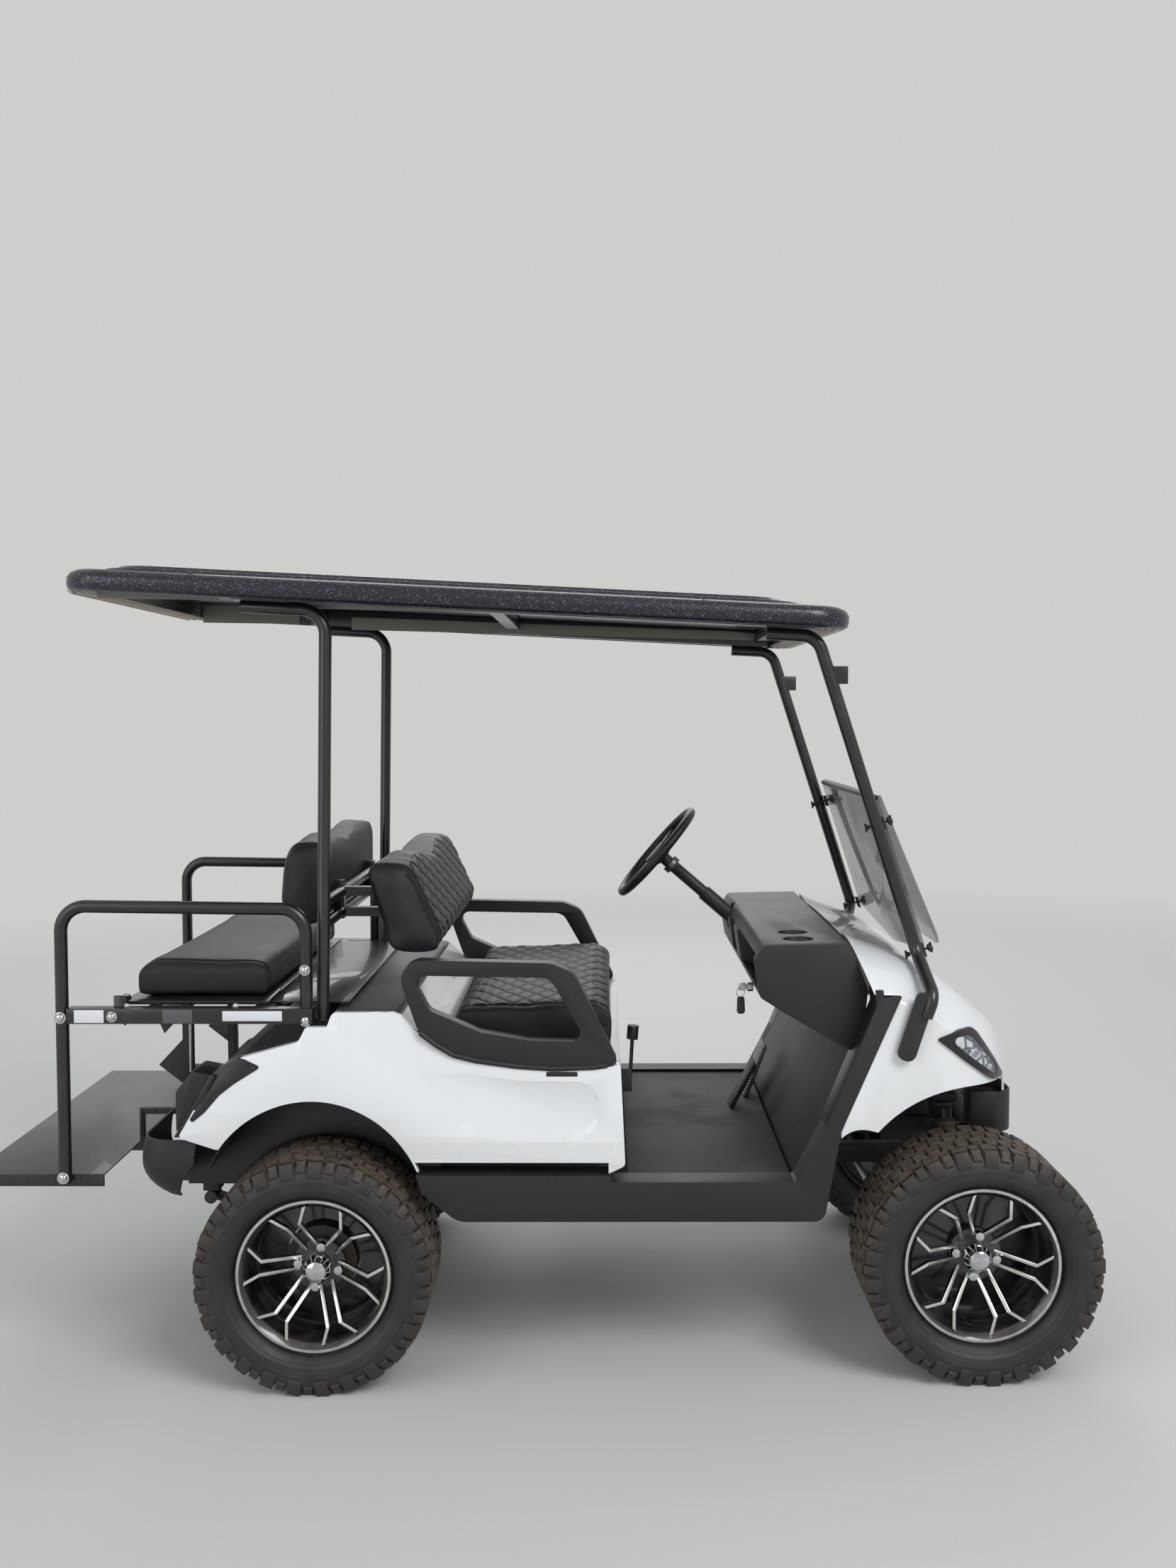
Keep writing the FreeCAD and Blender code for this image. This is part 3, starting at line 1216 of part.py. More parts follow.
def backrest_frame():
    """Cross tubes between the rear struts with arms to both backrests."""
    half = size("strut_y") - size("tube_diameter") / 2 - size("fit_gap")
    x = size("strut_foot_x")
    pieces = []
    for height in (905, 850):
        tall = x + (size("strut_head_x") - x) * (height - 606) / (size("strut_top") - 606)
        pieces.append(Part.makeCylinder(14, 2 * half, Vector(tall, -half, height), Vector(0, 1, 0)))
    lean = (109 - 185) / (size("back_top") - 34 - size("back_bottom"))
    for way in (-1, 1):
        for height in (905, 850):
            reach = 185 + lean * (height - size("back_bottom")) - 4
            arm = ranged(way * 236, way * 264)
            pieces.append(block((x, reach), arm, (height - 12, height + 12)))
        stay = ranged(way * 236, way * 264)
        pieces.append(block((x - size("tube_diameter") / 2, x + 12), stay, (832, 935)))
    return keep_shape("backrest_frame", pieces[0].multiFuse(pieces[1:]).removeSplitter())


rear_seat_frame()
rear_flip_base()
rear_seat_cushion()
grab_rails()
foot_plate()
cargo_deck()
backrest_frame()


# Roof and windscreen.

def roof_ends():
    """The roof's rear and front ends in x."""
    return size("roof_rear"), FRONT_AXLE - size("roof_front_inset")


def roof_place():
    """The roof panel's own place: leaning down to the front."""
    return Placement(Vector(sum(roof_ends()) / 2, 0, size("roof_base_z")),
                     Rotation(Vector(0, 1, 0), size("roof_slope")))


def roof_underside(x):
    """Height of the roof's lower edge at x."""
    drop = (x - sum(roof_ends()) / 2) * math.tan(math.radians(size("roof_slope")))
    return size("roof_base_z") - drop


def roof_outline(rear, front, side, corner, height):
    """A rounded rectangle inside the roof's edge, inset by three distances."""
    ends = roof_ends()
    half_x = (ends[1] - ends[0]) / 2
    half_y = size("roof_half_width") - side
    return outline_xy([(-half_x + rear, -half_y, corner), (half_x - front, -half_y, corner),
                       (half_x - front, half_y, corner), (-half_x + rear, half_y, corner)], height)


def roof_panel():
    """Moulded roof: a hollow tray with a rolled band and a deck in two steps."""
    corner = size("roof_corner")
    lip = size("roof_lip")
    inset = size("roof_inset")
    crown = size("roof_crown")
    # inset from the edge and height of each line of the band
    band = ((14, 0), (3, 7), (0, 18), (0, 34), (8, lip - 8), (24, lip))
    tray = Part.makeLoft([roof_outline(e, e, e, corner - e, z) for e, z in band], True, True)
    # inset beyond the deck's foot and height above the band
    steps = (((0, -2), (10, 0.55 * crown)), ((26, 0.55 * crown - 2), (36, crown)))
    decks = []
    for rows in steps:
        wires = []
        for e, z in rows:
            wires.append(roof_outline(inset + e, 1.6 * inset + 1.4 * e, inset + e, corner, lip + z))
        decks.append(Part.makeLoft(wires, True, True))
    wall = 30
    hollow = extrude(roof_outline(wall, wall, wall, corner - wall + 10, -1),
                     (0, 0, lip - size("roof_wall") + 1))
    shape = tray.multiFuse(decks).cut(hollow)
    shape.Placement = roof_place()
    return keep_shape("roof", shape)


def roof_rails():
    """Two rails in the roof's hollow, joined by a cross rail at each strut."""
    top = size("roof_lip") - size("roof_wall") - size("fit_gap")
    rail_y = size("rail_y_roof")
    middle = sum(roof_ends()) / 2
    tail, head = size("roof_rear") + 415, FRONT_AXLE - 403
    wide = 40
    pieces = []
    for way in (-1, 1):
        side = ranged(way * (rail_y - wide / 2), way * (rail_y + wide / 2))
        pieces.append(block((tail - middle, head - middle), side, (0, top)))
    for cross_x in (size("strut_head_x") - 215, 410, head - 45):
        pieces.append(block((cross_x - middle, cross_x - middle + wide), (-rail_y, rail_y), (14, top)))
    shape = pieces[0].multiFuse(pieces[1:]).removeSplitter()
    shape.Placement = roof_place()
    return keep_shape("roof_rails", shape)


def rear_struts():
    """Uprights that bend back under the roof rails, on small feet."""
    across = -size("strut_y")
    radius = size("tube_diameter") / 2
    foot_z = 606 + size("fit_gap")
    head = size("strut_head_x")
    sink = radius + size("fit_gap")
    points = [(size("strut_foot_x"), across, foot_z), (head, across, roof_underside(head) - sink),
              (head - 210, across, roof_underside(head - 210) - sink)]
    post = tube("rear_strut_tube", points)
    foot = box("rear_strut_foot", "34", "32", "8", "sizes.strut_foot_x - 16", "-sizes.strut_y - 16",
               "606 + sizes.fit_gap")
    right = doc.addObject("Part::MultiFuse", "rear_strut_right")
    right.Shapes = [post, foot]
    return mirrored_pair("rear_struts", right)


STRUT_LOW, STRUT_HIGH = from_front([(-129, 753), (-382, 1541)])


def strut_point(z, y):
    """A point on a front strut's straight run at a height."""
    share = (z - STRUT_LOW[1]) / (STRUT_HIGH[1] - STRUT_LOW[1])
    return (STRUT_LOW[0] + share * (STRUT_HIGH[0] - STRUT_LOW[0]), y, z)


def front_struts():
    """Raked uprights that flare out to paddles on the cowl's sides."""
    across = -size("front_strut_y")
    radius = size("tube_diameter") / 2
    sink = radius + size("fit_gap")
    outer = -(size("body_half_width") + 9)
    tail = FRONT_AXLE - 518
    high = STRUT_HIGH
    for _ in range(2):
        high = strut_point(roof_underside(high[0]) - sink, across)
    points = from_front([(-142, outer, 640), (-124, outer, 690)])
    points += [strut_point(775, across), high, (tail, across, roof_underside(tail) - sink)]
    post = tube("front_strut_tube", points, bend="strut_bend")
    paddle_rows = from_front([(-116, 700, 10), (-164, 700, 14), (-216, 540, 20), (-172, 528, 20)])
    paddle = doc.addObject("Part::Feature", "front_strut_paddle")
    paddle.Shape = extrude(outline_xz(paddle_rows, outer - 5), (0, 10, 0))
    stop = doc.addObject("Part::Feature", "front_strut_stop")
    stop_x, stop_y, stop_z = strut_point(1472, across)
    stop.Shape = block((stop_x + 2, stop_x + 44), (stop_y - 13, stop_y + 13), (stop_z - 22, stop_z + 22))
    right = doc.addObject("Part::MultiFuse", "front_strut_right")
    right.Shapes = [post, paddle, stop]
    return mirrored_pair("front_struts", right)


def pane_place(lift):
    """The lower pane's plane: its base point, lifted off the struts."""
    run = Vector(STRUT_HIGH[0] - STRUT_LOW[0], 0, STRUT_HIGH[1] - STRUT_LOW[1]).normalize()
    face = Vector(run.z, 0, -run.x)
    return Vector(STRUT_LOW[0], 0, STRUT_LOW[1]) + face * lift, run, face


def windscreen():
    """Lower pane, folded upper pane, and the clips and hinge between them."""
    thick = size("pane_thickness")
    half = size("pane_half_width")
    radius = size("tube_diameter") / 2
    clip = size("clip_thickness")
    base, run, face = pane_place(radius + clip)
    lower = [(-half, 20, 30), (0, -30, 400), (half, 20, 30), (half - 6, 414, 14), (-half + 6, 414, 14)]
    pane = Part.Face(outline_yz([(-y, z, r) for y, z, r in lower])).extrude(Vector(thick, 0, 0))
    pane.Placement = Placement(base, Rotation(Vector(0, 1, 0), -math.degrees(math.atan2(-run.x, run.z))))
    keep_shape("windscreen_lower", pane)
    hinge = base + run * 414 + face * (thick / 2)
    lean = math.radians(size("fold_lean"))
    upper = [(-half + 10, 5, 8), (half - 10, 5, 8), (half - 10, -410, 50), (-half + 10, -410, 50)]
    sheet_pane = Part.Face(outline_yz(upper)).extrude(Vector(thick, 0, 0))
    rod_centre = hinge + run * (7 + size("fit_gap"))
    outward = Vector(math.cos(lean), 0, math.sin(lean))
    sheet_pane.Placement = Placement(rod_centre + outward * (7 + size("fit_gap")),
                                     Rotation(Vector(0, 1, 0), -size("fold_lean")))
    keep_shape("windscreen_upper", sheet_pane)
    pieces = []
    gap = size("fit_gap")
    for way in (-1, 1):
        for along in (22, 360):
            grip = Part.makeBox(clip - 2 * gap, 30, 34, Vector(-clip + gap, -15, -17))
            grip.Placement = Placement(base + run * along + Vector(0, way * (half + 5), 0),
                                       Rotation(Vector(0, 1, 0), -math.degrees(math.atan2(-run.x, run.z))))
            pieces.append(grip)
    pieces.append(Part.makeCylinder(7, 2 * (half - 30), Vector(rod_centre.x, -(half - 30), rod_centre.z),
                                    Vector(0, 1, 0)))
    return keep_shape("windscreen_clips", pieces)


roof_panel()
roof_rails()
rear_struts()
front_struts()
windscreen()


# Checks and export.

doc.recompute()
faults = [item.Label for item in doc.Objects if {"Invalid", "Error"} & set(item.State)]
assert not faults, faults
for node in NODES:
    assert not node.Shape.isNull() and node.Shape.isValid(), node.Label
    assert node.Shape.Volume > 0, node.Label
os.makedirs("parts", exist_ok=True)
for node in NODES:
    node.Shape.exportStep("parts/%s.step" % node.Label)
print(len(NODES), "nodes")
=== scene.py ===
"""Looks of a four-seat golf cart: every finish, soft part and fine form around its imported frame."""
import json
import logging
import math
from contextlib import contextmanager
from dataclasses import dataclass
from enum import Enum
from typing import Callable, Iterator, Sequence

import bpy
from mathutils import Matrix, Vector


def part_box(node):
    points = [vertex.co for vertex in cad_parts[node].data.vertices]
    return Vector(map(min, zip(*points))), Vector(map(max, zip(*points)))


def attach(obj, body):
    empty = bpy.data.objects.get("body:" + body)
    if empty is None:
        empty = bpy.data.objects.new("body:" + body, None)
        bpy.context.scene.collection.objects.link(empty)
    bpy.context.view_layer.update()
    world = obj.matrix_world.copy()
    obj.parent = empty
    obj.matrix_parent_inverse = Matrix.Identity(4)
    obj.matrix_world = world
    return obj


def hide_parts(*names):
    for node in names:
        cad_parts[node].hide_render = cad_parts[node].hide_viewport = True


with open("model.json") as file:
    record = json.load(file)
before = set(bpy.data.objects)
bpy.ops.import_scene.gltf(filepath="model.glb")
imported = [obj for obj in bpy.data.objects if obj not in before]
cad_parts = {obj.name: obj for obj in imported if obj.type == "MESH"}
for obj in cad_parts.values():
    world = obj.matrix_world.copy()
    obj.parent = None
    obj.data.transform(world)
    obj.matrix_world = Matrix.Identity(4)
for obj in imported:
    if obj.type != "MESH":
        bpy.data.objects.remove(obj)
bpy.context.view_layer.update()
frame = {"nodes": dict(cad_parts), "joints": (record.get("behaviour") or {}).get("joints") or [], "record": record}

LOG = logging.getLogger("golf_cart")

Point = tuple[float, float, float]
Flat = tuple[float, float]
Outline = Sequence[Flat]
Piece = bpy.types.Object
Socket = bpy.types.NodeSocket

REAR_AXLE, FRONT_AXLE = (Vector(next(j["pos_m"] for j in frame["joints"] if j["name"] == name))
                         for name in ("roll_rear_right", "roll_front_right"))
RAKE = math.radians(1.05)
TYRE_RADIUS = 0.292
SPRUNG = Matrix.Translation((REAR_AXLE.x, 0.0, REAR_AXLE.z)) @ Matrix.Rotation(RAKE, 4, "Y")
SIDES = (("right", -1), ("left", 1))
# the sign of Y on each side
WAYS = (-1, 1)
BODIES = {node: body for body, nodes in frame["record"]["behaviour"]["bodies"].items() for node in nodes}


def spot(x: float, y: float, z: float) -> Vector:
    """The row frame's place of a point given in millimetres from the rear axle, along the raked body."""
    return SPRUNG @ Vector((x / 1000.0, y / 1000.0, z / 1000.0))


# Shader maths and finishes.

def operator(kind: str, swap: bool = False) -> Callable[..., "Value"]:
    """Makes one arithmetic method of Value.

    Args:
        kind: the Math node's operation.
        swap: True puts the value itself second.

    Returns:
        The method.
    """
    def method(value: "Value", other: "Value | float | None" = None) -> "Value":
        """The Math node's result."""
        pair = (other, value) if swap else (value, other)
        inputs = {i: v for i, v in enumerate(pair) if v is not None}
        return value.finish.value("ShaderNodeMath", {"operation": kind}, inputs)

    return method


class Value:
    """A number in a material, whose arithmetic adds Math nodes."""

    def __init__(self, finish: "Nodes", socket: Socket) -> None:
        """Wraps a socket of one material.

        Args:
            finish: the material that the socket belongs to.
            socket: an output socket that holds a number.
        """
        self.finish = finish
        self.socket = socket

    __add__ = __radd__ = operator("ADD")
    __sub__ = operator("SUBTRACT")
    __rsub__ = operator("SUBTRACT", swap=True)
    __mul__ = __rmul__ = operator("MULTIPLY")
    __pow__ = operator("POWER")
    sine = operator("SINE")
    size = operator("ABSOLUTE")
    least = operator("MINIMUM")

    def fade(self, low: float, high: float) -> "Value":
        """A smooth step from 0 at the low value to 1 at the high one."""
        settings = {"interpolation_type": "SMOOTHSTEP"}
        return self.finish.value("ShaderNodeMapRange", settings, {0: self, 1: low, 2: high, 3: 0.0, 4: 1.0})


class Nodes:
    """One material under construction."""

    def __init__(self, name: str, world: bpy.types.World | None = None) -> None:
        """Starts a material with one Principled shader, or takes a world's nodes.

        Args:
            name: the material's name.
            world: the world whose nodes are built instead.
        """
        if world:
            self.tree = world.node_tree
            return
        self.material = bpy.data.materials.new(name)
        self.material.use_nodes = True
        self.tree = self.material.node_tree
        self.shader = self.tree.nodes["Principled BSDF"]
        self.place = self.node("ShaderNodeTexCoord").outputs["Object"]

    def node(self, kind: str, settings: dict | None = None, inputs: dict | None = None) -> bpy.types.Node:
        """Adds a node.

        Args:
            kind: the node's type.
            settings: attributes that are set first.
            inputs: values or links of its sockets, by name or number.

        Returns:
            The node.
        """
        made = self.tree.nodes.new(kind)
        for key, value in (settings or {}).items():
            setattr(made, key, value)
        for key, value in (inputs or {}).items():
            self.join(made.inputs[key], value)
        return made

    def join(self, socket: Socket, value: object) -> None:
        """Links a socket to a value or another socket, or sets it.

        Args:
            socket: the input socket.
            value: a Value, a socket, a number or a colour of three.
        """
        if isinstance(value, (Value, Socket)):
            self.tree.links.new(getattr(value, "socket", value), socket)
        else:
            socket.default_value = (*value, 1.0) if isinstance(value, tuple) and len(value) == 3 else value

    def value(self, kind: str, settings: dict | None = None, inputs: dict | None = None,
              output: int | str = 0) -> Value:
        """Adds a node and gives one of its outputs as a number."""
        return Value(self, self.node(kind, settings, inputs).outputs[output])

    def axis(self, letter: str, vector: Socket | None = None) -> Value:
        """One part of a vector, or of the surface's place in the row frame."""
        return self.value("ShaderNodeSeparateXYZ", None, {0: vector or self.place}, letter)

    def cloud(self, scale: float, detail: float = 3.0, rough: float = 0.55) -> Value:
        """Soft noise from about 0 to 1, with so many features to a metre."""
        inputs = {"Vector": self.place, "Scale": scale, "Detail": detail, "Roughness": rough}
        return self.value("ShaderNodeTexNoise", None, inputs)

    def cells(self, scale: float, feature: str = "F1") -> Value:
        """A distance in a pattern with so many cells to a metre."""
        inputs = {"Vector": self.place, "Scale": scale}
        return self.value("ShaderNodeTexVoronoi", {"feature": feature}, inputs, "Distance")

    def blend(self, share: Value, first: Point | Socket, second: Point | Socket) -> Socket:
        """The colour between the first, where the share is 0, and the second, where it is 1."""
        return self.node("ShaderNodeMix", {"data_type": "RGBA"}, {0: share, 6: first, 7: second}).outputs[2]

    def bump(self, height: Value, distance: float) -> None:
        """Feeds a pattern, whose 1 is a height of that distance in metres, to the shader's normal."""
        inputs = {"Strength": 1.0, "Distance": distance, "Height": height}
        self.join(self.shader.inputs["Normal"], self.node("ShaderNodeBump", None, inputs).outputs[0])

    def put(self, **values: object) -> None:
        """Sets or links the shader's sockets, named with underscores for spaces."""
        for key, value in values.items():
            self.join(self.shader.inputs[key.replace("_", " ")], value)


def shaded(colour: Point, share: float, lift: float = 0.0) -> Point:
    """A colour times a share, plus a lift."""
    return tuple(share * c + lift for c in colour)


@dataclass(frozen=True)
class Finish:
    """A named finish, whose kind lays its own nodes."""
    name: str

    def lay(self, sheet: Nodes) -> None:
        """Lays the finish's nodes on a fresh material."""
        raise NotImplementedError

    def make(self) -> bpy.types.Material:
        """The finish's material."""
        sheet = Nodes(self.name)
        self.lay(sheet)
        return sheet.material


@dataclass(frozen=True)
class Paint(Finish):
    """Gloss paint with a clear coat, faint ripple and dust that settles low down."""
    colour: Point
    roughness: float = 0.24
    dust: float = 0.05

    def lay(self, sheet: Nodes) -> None:
        """Lays its nodes."""
        low = 1.0 - sheet.axis("Z").fade(0.42, 0.75)
        dirt = low * sheet.cloud(9.0).fade(0.42, 0.72) * self.dust * 6.0
        dusty = tuple(0.62 * c + 0.38 * d for c, d in zip(self.colour, (0.45, 0.40, 0.34)))
        sheet.put(Base_Color=sheet.blend(dirt.least(0.6), self.colour, dusty),
                  Roughness=dirt * 0.4 + sheet.cloud(6.0) * 0.05 + self.roughness,
                  Coat_Weight=0.7, Coat_Roughness=0.06, IOR=1.5)
        sheet.bump(sheet.cloud(38.0, 1.0), 0.00004)


@dataclass(frozen=True)
class Plastic(Finish):
    """Grained moulded plastic that the sun has greyed on its upper faces."""
    colour: Point
    roughness: float = 0.5
    grain: float = 900.0
    depth: float = 0.00012
    faded: float = 0.35
    dust: float = 0.2

    def lay(self, sheet: Nodes) -> None:
        """Lays its nodes."""
        up = sheet.axis("Z", sheet.node("ShaderNodeNewGeometry").outputs["Normal"])
        patches = sheet.cloud(7.0, 5.0)
        bleached = up.fade(0.1, 0.9) * self.faded + patches.fade(0.45, 0.75) * 0.3 * self.faded
        pale = shaded(self.colour, 2.6, 0.012)
        dirt = sheet.cloud(55.0, 6.0, 0.7).fade(0.55, 0.8) * self.dust
        aged = sheet.blend(bleached, self.colour, pale)
        sheet.put(Base_Color=sheet.blend(dirt * 0.4, aged, (0.16, 0.14, 0.115)),
                  Roughness=(patches * 0.18 + dirt * 0.25 + (self.roughness - 0.09)).least(0.95))
        sheet.bump(sheet.cells(self.grain), self.depth)


@dataclass(frozen=True)
class Powder(Finish):
    """Baked powder coat: satin black with a fine pebble."""
    colour: Point = (0.011, 0.011, 0.012)
    roughness: float = 0.3

    def lay(self, sheet: Nodes) -> None:
        """Lays its nodes."""
        wear = sheet.cloud(14.0, 5.0)
        worn = sheet.blend(wear.fade(0.55, 0.8), self.colour, shaded(self.colour, 2.4))
        sheet.put(Base_Color=worn,
                  Roughness=wear * 0.16 + (self.roughness - 0.06), Coat_Weight=0.25, Coat_Roughness=0.2)
        sheet.bump(sheet.cells(420.0, "SMOOTH_F1"), 0.00008)


@dataclass(frozen=True)
class Flake(Finish):
    """Near-black gloss with bright metal flakes under a clear coat."""
    colour: Point = (0.0075, 0.0085, 0.014)
    spark: Point = (0.30, 0.32, 0.42)

    def lay(self, sheet: Nodes) -> None:
        """Lays its nodes."""
        cell = sheet.node("ShaderNodeTexVoronoi", None, {"Vector": sheet.place, "Scale": 330.0})
        pick = sheet.axis("X", cell.outputs["Color"])
        flake = pick.fade(0.74, 0.97) * (1.0 - Value(sheet, cell.outputs["Distance"]).fade(0.25, 0.5))
        sheet.put(Base_Color=sheet.blend(flake, self.colour, self.spark), Metallic=flake * 0.8,
                  Roughness=0.42 - flake * 0.2, Coat_Weight=0.35, Coat_Roughness=0.14,
                  Specular_IOR_Level=0.35)
        sheet.bump(sheet.cells(150.0, "SMOOTH_F1"), 0.0003)


@dataclass(frozen=True)
class Vinyl(Finish):
    """Soft black upholstery vinyl with a leather grain and worn, shinier high spots."""
    colour: Point = (0.0095, 0.0095, 0.011)
    roughness: float = 0.42

    def lay(self, sheet: Nodes) -> None:
        """Lays its nodes."""
        worn = sheet.cloud(8.0, 4.0)
        crease = sheet.cells(520.0, "DISTANCE_TO_EDGE").fade(0.0, 0.25)
        sheet.put(Base_Color=sheet.blend(worn.fade(0.4, 0.8), self.colour, shaded(self.colour, 1.6)),
                  Roughness=worn * 0.14 + (1.0 - crease) * 0.12 + (self.roughness - 0.08),
                  Specular_IOR_Level=0.36)
        sheet.bump(crease * 0.7 + sheet.cloud(260.0) * 0.5, 0.00022)


@dataclass(frozen=True)
class Clear(Finish):
    """Tinted see-through acrylic, with faint haze and scuffs."""
    colour: Point
    cover: float
    roughness: float = 0.05

    def lay(self, sheet: Nodes) -> None:
        """Lays its nodes."""
        haze = sheet.cloud(11.0, 6.0, 0.65).fade(0.5, 0.85)
        sheet.put(Base_Color=self.colour, Alpha=haze * 0.08 + self.cover,
                  Roughness=haze * 0.12 + self.roughness, Specular_IOR_Level=0.5)


@dataclass(frozen=True)
class Rubber(Finish):
    """Tyre rubber: brown dirt between the tread blocks, soft black on the walls."""
    centre: Vector
    outer: float
    dirt: Point = (0.20, 0.155, 0.11)
    colour: Point = (0.017, 0.017, 0.018)
    # how far below the outer radius the tread fades in, and its grooves
    tread_band: Flat = (0.050, 0.012)
    groove_band: Flat = (0.013, 0.003)
    # how far from the tyre's middle the dirt fades out
    ground_band: Flat = (0.098, 0.114)

    def lay(self, sheet: Nodes) -> None:
        """Lays its nodes."""
        x, z = sheet.axis("X") - self.centre.x, sheet.axis("Z") - self.centre.z
        radius = (x * x + z * z) ** 0.5
        tread, crest = (radius.fade(*(self.outer - depth for depth in band))
                        for band in (self.tread_band, self.groove_band))
        groove = 1.0 - crest
        across = (sheet.axis("Y").size() - abs(self.centre.y)).size()
        ground = 1.0 - across.fade(*self.ground_band)
        cake = tread * ground * (groove * 0.55 + 0.4) * sheet.cloud(34.0, 6.0, 0.7).fade(0.30, 0.60)
        film = sheet.cloud(12.0, 5.0).fade(0.35, 0.8) * 0.2 + tread * 0.10
        sheet.put(Base_Color=sheet.blend((cake + film * 0.5).least(1.0), self.colour, self.dirt),
                  Roughness=(cake * 0.4 + film + 0.42).least(0.95))
        sheet.bump(sheet.cloud(420.0, 4.0) + (radius * 2100.0).sine() * 0.12 * (1.0 - tread), 0.00025)


@dataclass(frozen=True)
class Metal(Finish):
    """Bare metal with fine tool marks."""
    colour: Point
    roughness: float
    marks: float = 0.1
    scale: float = 60.0

    def lay(self, sheet: Nodes) -> None:
        """Lays its nodes."""
        stain = sheet.cloud(self.scale, 5.0)
        sheet.put(Base_Color=sheet.blend(stain.fade(0.35, 0.8), self.colour, shaded(self.colour, 0.72)),
                  Metallic=1.0, Roughness=stain * self.marks + self.roughness)
        sheet.bump(sheet.cloud(900.0, 2.0), 0.00003)


@dataclass(frozen=True)
class Soiled(Finish):
    """Paint or casting under the cart, with road dirt and rust bloom."""
    colour: Point
    soil: Point = (0.12, 0.085, 0.055)
    amount: float = 0.5
    metal: float = 0.0

    def lay(self, sheet: Nodes) -> None:
        """Lays its nodes."""
        bloom = sheet.cloud(18.0, 7.0, 0.7).fade(0.42, 0.75) * self.amount
        sheet.put(Base_Color=sheet.blend(bloom, self.colour, self.soil), Metallic=self.metal,
                  Roughness=bloom * 0.4 + 0.5)
        sheet.bump(sheet.cloud(170.0, 6.0), 0.0006)


@dataclass(frozen=True)
class Ribbed(Finish):
    """A pedal's face with level ribs, worn on their crests."""
    colour: Point
    worn: Point
    metal: float = 0.0
    pitch: float = 0.0085

    def lay(self, sheet: Nodes) -> None:
        """Lays its nodes."""
        crest = (sheet.axis("Z") * (2.0 * math.pi / self.pitch)).sine().fade(-0.3, 0.5)
        rubbed = crest * sheet.cloud(40.0, 5.0).fade(0.3, 0.7)
        sheet.put(Base_Color=sheet.blend(rubbed, self.colour, self.worn), Metallic=self.metal,
                  Roughness=0.55 - rubbed * 0.2)
        sheet.bump(crest, 0.0016)


@dataclass(frozen=True)
class Bowl(Finish):
    """A lamp's reflector: curved facets with dark gaps, and bright and dark patches of painted reflection in its
    colour.
    """
    # the painted reflection's bright and dark colours; the dark one also fills the gaps between facets
    bright: Point = (0.88, 0.90, 0.94)
    dark: Point = (0.03, 0.035, 0.05)

    def lay(self, sheet: Nodes) -> None:
        """Lays its nodes."""
        gap = sheet.cells(26.0, "DISTANCE_TO_EDGE").fade(0.03, 0.12)
        # painted reflection: soft bright and dark patches in the base colour, cut by the dark gaps along the
        # facets' edges
        painted_reflection = sheet.cloud(22.0, 2.0).fade(0.35, 0.55) * gap
        sheet.put(Base_Color=sheet.blend(painted_reflection, self.dark, self.bright), Metallic=1.0,
                  Roughness=sheet.cloud(60.0) * 0.1 + 0.04)
        sheet.bump(sheet.cells(40.0), 0.012)


@dataclass(frozen=True)
class Tread(Finish):
    """Black painted tread plate: raised lozenges that lie both ways in turn."""
    colour: Point = (0.012, 0.0125, 0.014)
    pitch: float = 0.017

    def lay(self, sheet: Nodes) -> None:
        """Lays its nodes."""
        along = sheet.axis("X") * (math.pi / self.pitch)
        across = sheet.axis("Y") * (math.pi / self.pitch)
        first = (along + across).sine().size() ** 6.0 * (along - across).sine().size()
        second = (along - across).sine().size() ** 6.0 * (along + across).sine().size()
        checker = (along.sine() * across.sine()).fade(-0.02, 0.02)
        raised = (first * checker + second * (1.0 - checker)).fade(0.35, 0.7)
        worn = sheet.cloud(20.0, 5.0).fade(0.5, 0.8) * raised
        sheet.put(Base_Color=sheet.blend(worn * 0.6, self.colour, (0.10, 0.10, 0.105)),
                  Roughness=sheet.cloud(9.0) * 0.2 + 0.22, Coat_Weight=0.3)
        sheet.bump(raised, 0.0012)


@dataclass(frozen=True)
class Mat(Finish):
    """Rubber floor mat with fine ribs and trodden dust."""
    colour: Point = (0.020, 0.020, 0.021)
    pitch: float = 0.009

    def lay(self, sheet: Nodes) -> None:
        """Lays its nodes."""
        dust = sheet.cloud(5.0, 6.0, 0.6).fade(0.4, 0.8)
        ribs = (sheet.axis("Y") * (2.0 * math.pi / self.pitch)).sine().fade(-0.4, 0.4)
        sheet.put(Base_Color=sheet.blend(dust * 0.4, self.colour, (0.13, 0.118, 0.10)),
                  Roughness=dust * 0.2 + 0.62)
        sheet.bump(ribs + sheet.cloud(300.0) * 0.3, 0.0006)


